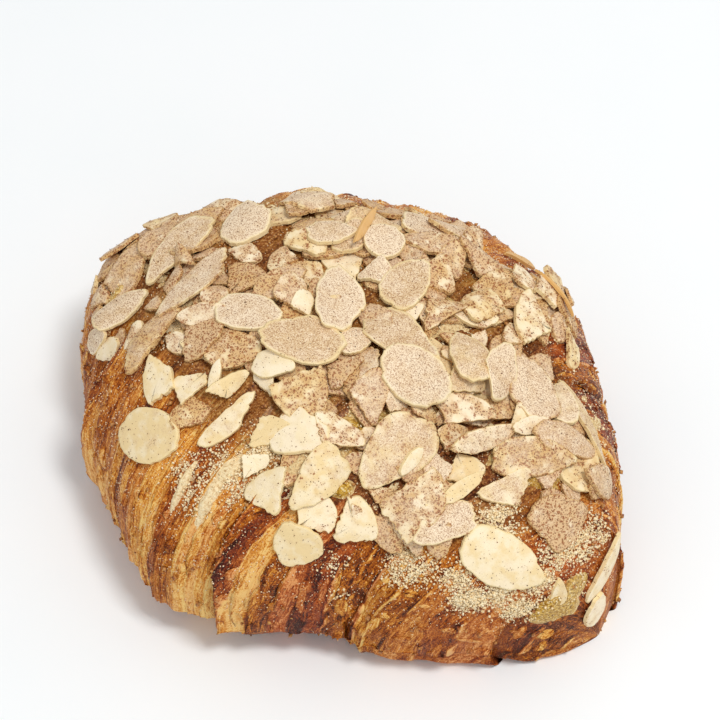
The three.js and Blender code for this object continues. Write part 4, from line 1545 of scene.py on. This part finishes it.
def crust_paint():
    paint = Paint("browned_crust")
    fibre = paint.noise(paint.flow(0.5, 5.0), detail=4.0)
    mottle = paint.grain(1.6, 4.0)
    fine = paint.grain(0.4, 3.0)
    tone = paint.plus(paint.value("tone"), paint.span(fibre, 0.25, 0.75, -0.12, 0.12))
    tone = paint.plus(tone, paint.span(mottle, 0.3, 0.7, -0.08, 0.08))
    tone = paint.plus(tone, paint.span(fine, 0.3, 0.7, -0.16, 0.16))
    # Thin dark lines along the layers, and thin pale ones that are painted highlights on the layers'
    # edges.
    tone = paint.plus(tone, paint.times(paint.lines(0.9, 14.0, 0.03), 0.3))
    tone = paint.minus(tone, paint.times(paint.lines(1.3, 12.0, 0.025), 0.3))
    colour = paint.mix(paint.value("red"), paint.ramp(tone, AMBER_BAKE), paint.ramp(tone, RED_BAKE))
    # Painted shade in the folds beside the turns' edges.
    colour = paint.tint(colour, paint.value("crevice_shade"), 0.6, CREVICE_SHADE_BROWN)

    # The paste's crumble, its own brown darkened further to paint the shade in the gaps between the
    # slices.
    darker = paint.span(paint.value("tone"), 0.4, 1.0, 0.02, -0.12)
    shaded_crumble = paint.ramp(paint.plus(paint.grain(0.6, 4.0), darker), PASTE_AND_GAP_SHADE_TONES)
    colour = paint.mix(paint.times(paint.value("paste"), 0.75), colour, shaded_crumble)
    # Painted glints: pale sugar specks that also stand in for highlights.
    colour = paint.tint(colour, paint.span(paint.grain(0.3, 1.0), 0.63, 0.72), 0.32, SUGAR_GLINT)
    granular = paint.times(paint.minus(paint.grain(0.7, 4.0), 0.5), 1.6)
    crusted = paint.span(paint.plus(paint.value("lace"), granular), 0.46, 0.56)
    colour = paint.mix(crusted, colour, paint.ramp(paint.grain(0.42, 3.0), LACE_TONES))
    return paint.finish(
        Base_Color=colour,
        Roughness=paint.span(mottle, 0.3, 0.7, 0.36, 0.58),
        Specular_IOR_Level=0.08,
        Coat_Weight=0.05,
        Coat_Roughness=0.15,
        Normal=paint.bump(paint.plus(fibre, fine), 0.2, 0.6),
    )


def almond_paint():
    paint = Paint("sliced_almond")
    cloud = paint.grain(3.0, 3.0)
    tone = paint.plus(paint.value("tone"), paint.span(cloud, 0.3, 0.7, -0.4, 0.4))
    rim = paint.value("rim")
    colour = paint.ramp(tone, ALMOND_TONES)
    colour = paint.mix(paint.span(rim, 0.92, 1.0, 0.0, 0.8), colour, linear(*ALMOND_RIM))

    spice = paint.value("spice")
    cluster = paint.plus(paint.grain(2.6, 3.0), paint.times(spice, 0.4))
    stained = paint.times(paint.span(cluster, 0.53, 0.8), paint.span(spice, 0.0, 0.4))
    density = paint.times(stained, 0.95)
    colour = paint.tint(colour, stained, 0.65, SPICE_STAIN)
    colour = paint.tint(colour, paint.dots(0.75, density), 0.85, SPICE_DOT)
    colour = paint.tint(colour, paint.dots(0.42, density), 0.8, SPICE_FINE_DOT)

    strewn = paint.plus(paint.grain(3.2, 3.0), paint.times(paint.value("dust"), 0.8))
    dusted = paint.times(paint.span(strewn, 0.5, 1.1), paint.span(rim, 0.84, 0.98, 1.0, 0.1))
    colour = paint.mix(paint.times(dusted, 0.85), colour, paint.ramp(tone, POWDER_TONES))
    dust = paint.noise(paint.place(), 1 / (0.3 * MM), 3.0, 0.8)
    colour = paint.tint(colour, paint.times(paint.span(dust, 0.49, 0.62), dusted), 0.85, POWDER_BROWN)
    colour = paint.tint(colour, paint.times(paint.span(dust, 0.47, 0.36), dusted), 0.7, POWDER_PALE)

    colour = paint.tint(colour, paint.span(paint.grain(0.34, 1.0), 0.7, 0.76), 0.7, ALMOND_SPECK)
    colour = paint.tint(colour, paint.value("toast"), 0.8, TOASTED)
    return paint.finish(
        Base_Color=colour,
        Roughness=0.55,
        Specular_IOR_Level=0.35,
        Normal=paint.bump(paint.plus(paint.grain(0.4, 3.0), cloud), 0.14, 0.6),
    )


def cream_paint():
    paint = Paint("almond_cream")
    grain = paint.grain(0.6, 4.0)
    moist = paint.value("moist")
    colour = paint.mix(moist, paint.ramp(grain, DRY_CREAM), paint.ramp(grain, WET_CREAM))
    colour = paint.tint(colour, paint.span(paint.grain(0.5, 2.0), 0.56, 0.64), 0.6, CREAM_PALE)
    colour = paint.tint(colour, paint.span(paint.grain(0.36, 2.0), 0.66, 0.73), 0.6, CREAM_DARK)
    return paint.finish(
        Base_Color=colour,
        Roughness=paint.span(moist, 0.0, 1.0, 0.6, 0.34),
        Specular_IOR_Level=0.15,
        Normal=paint.bump(grain, 0.35, 0.9),
    )


def grain_paint(name, colours, roughness):
    paint = Paint(name)
    colour = paint.ramp(paint.grain(0.8, 1.0), tuple(zip((0.35, 0.65), colours)))
    return paint.finish(Base_Color=colour, Roughness=roughness)


def floor_paint():
    paint = Paint("pale_floor")
    return paint.finish(Base_Color=paint.ramp(paint.grain(40.0, 2.0), FLOOR_TONES), Roughness=0.7)


# The stage.


def make_camera():
    camera = new_object("camera", bpy.data.cameras.new("camera"))
    camera.data.sensor_width = SENSOR
    camera.data.lens = FOCAL_PIXELS * SENSOR / FRAME_PIXELS
    axes = Matrix((RIGHT, UP, BACK)).transposed().to_4x4()
    camera.matrix_world = Matrix.Translation(Vector(EYE * MM)) @ axes
    bpy.context.scene.camera = camera


def make_floor():
    mesh = bpy.data.meshes.new("floor")
    corners = [(x * FLOOR_REACH, y * FLOOR_REACH, 0) for x, y in ((-1, -1), (1, -1), (1, 1), (-1, 1))]
    mesh.from_pydata(corners, [], [(0, 1, 2, 3)])
    mesh.materials.append(floor_paint())
    new_object("floor", mesh)


def make_light():
    """A soft square light that looks at the croissant, under an even white sky."""
    light = bpy.data.lights.new("key", "AREA")
    light.size = KEY_SIZE
    light.energy = KEY_POWER
    light.color = KEY_COLOUR
    lamp = new_object("key", light)
    lamp.location = Vector(KEY_RIGHT * RIGHT + KEY_AWAY * AWAY + KEY_UP * np.array((0.0, 0.0, 1.0)))
    lamp.rotation_euler = (Vector(KEY_AIM) - lamp.location).to_track_quat("-Z", "Y").to_euler()
    world = bpy.data.worlds.new("studio")
    world.use_nodes = True
    sky = world.node_tree.nodes["Background"].inputs
    sky["Color"].default_value = (1, 1, 1, 1)
    sky["Strength"].default_value = SKY_STRENGTH
    bpy.context.scene.world = world
    bpy.context.scene.view_settings.view_transform = "Standard"


make_camera()
make_floor()
make_light()
upper_side = surface_grid(*UPPER_GRID)
browned = crust_paint()
crust_points, crust_faces, crust_shares = make_crust(upper_side, browned)
almond_mesh, almond_bed = make_almonds(upper_side, almond_paint())
cream_lumps = make_cream(upper_side, cream_paint())
make_loose_layers(upper_side, almond_bed, browned)
make_grains((crust_points, crust_faces), crust_shares, almond_mesh, cream_lumps)
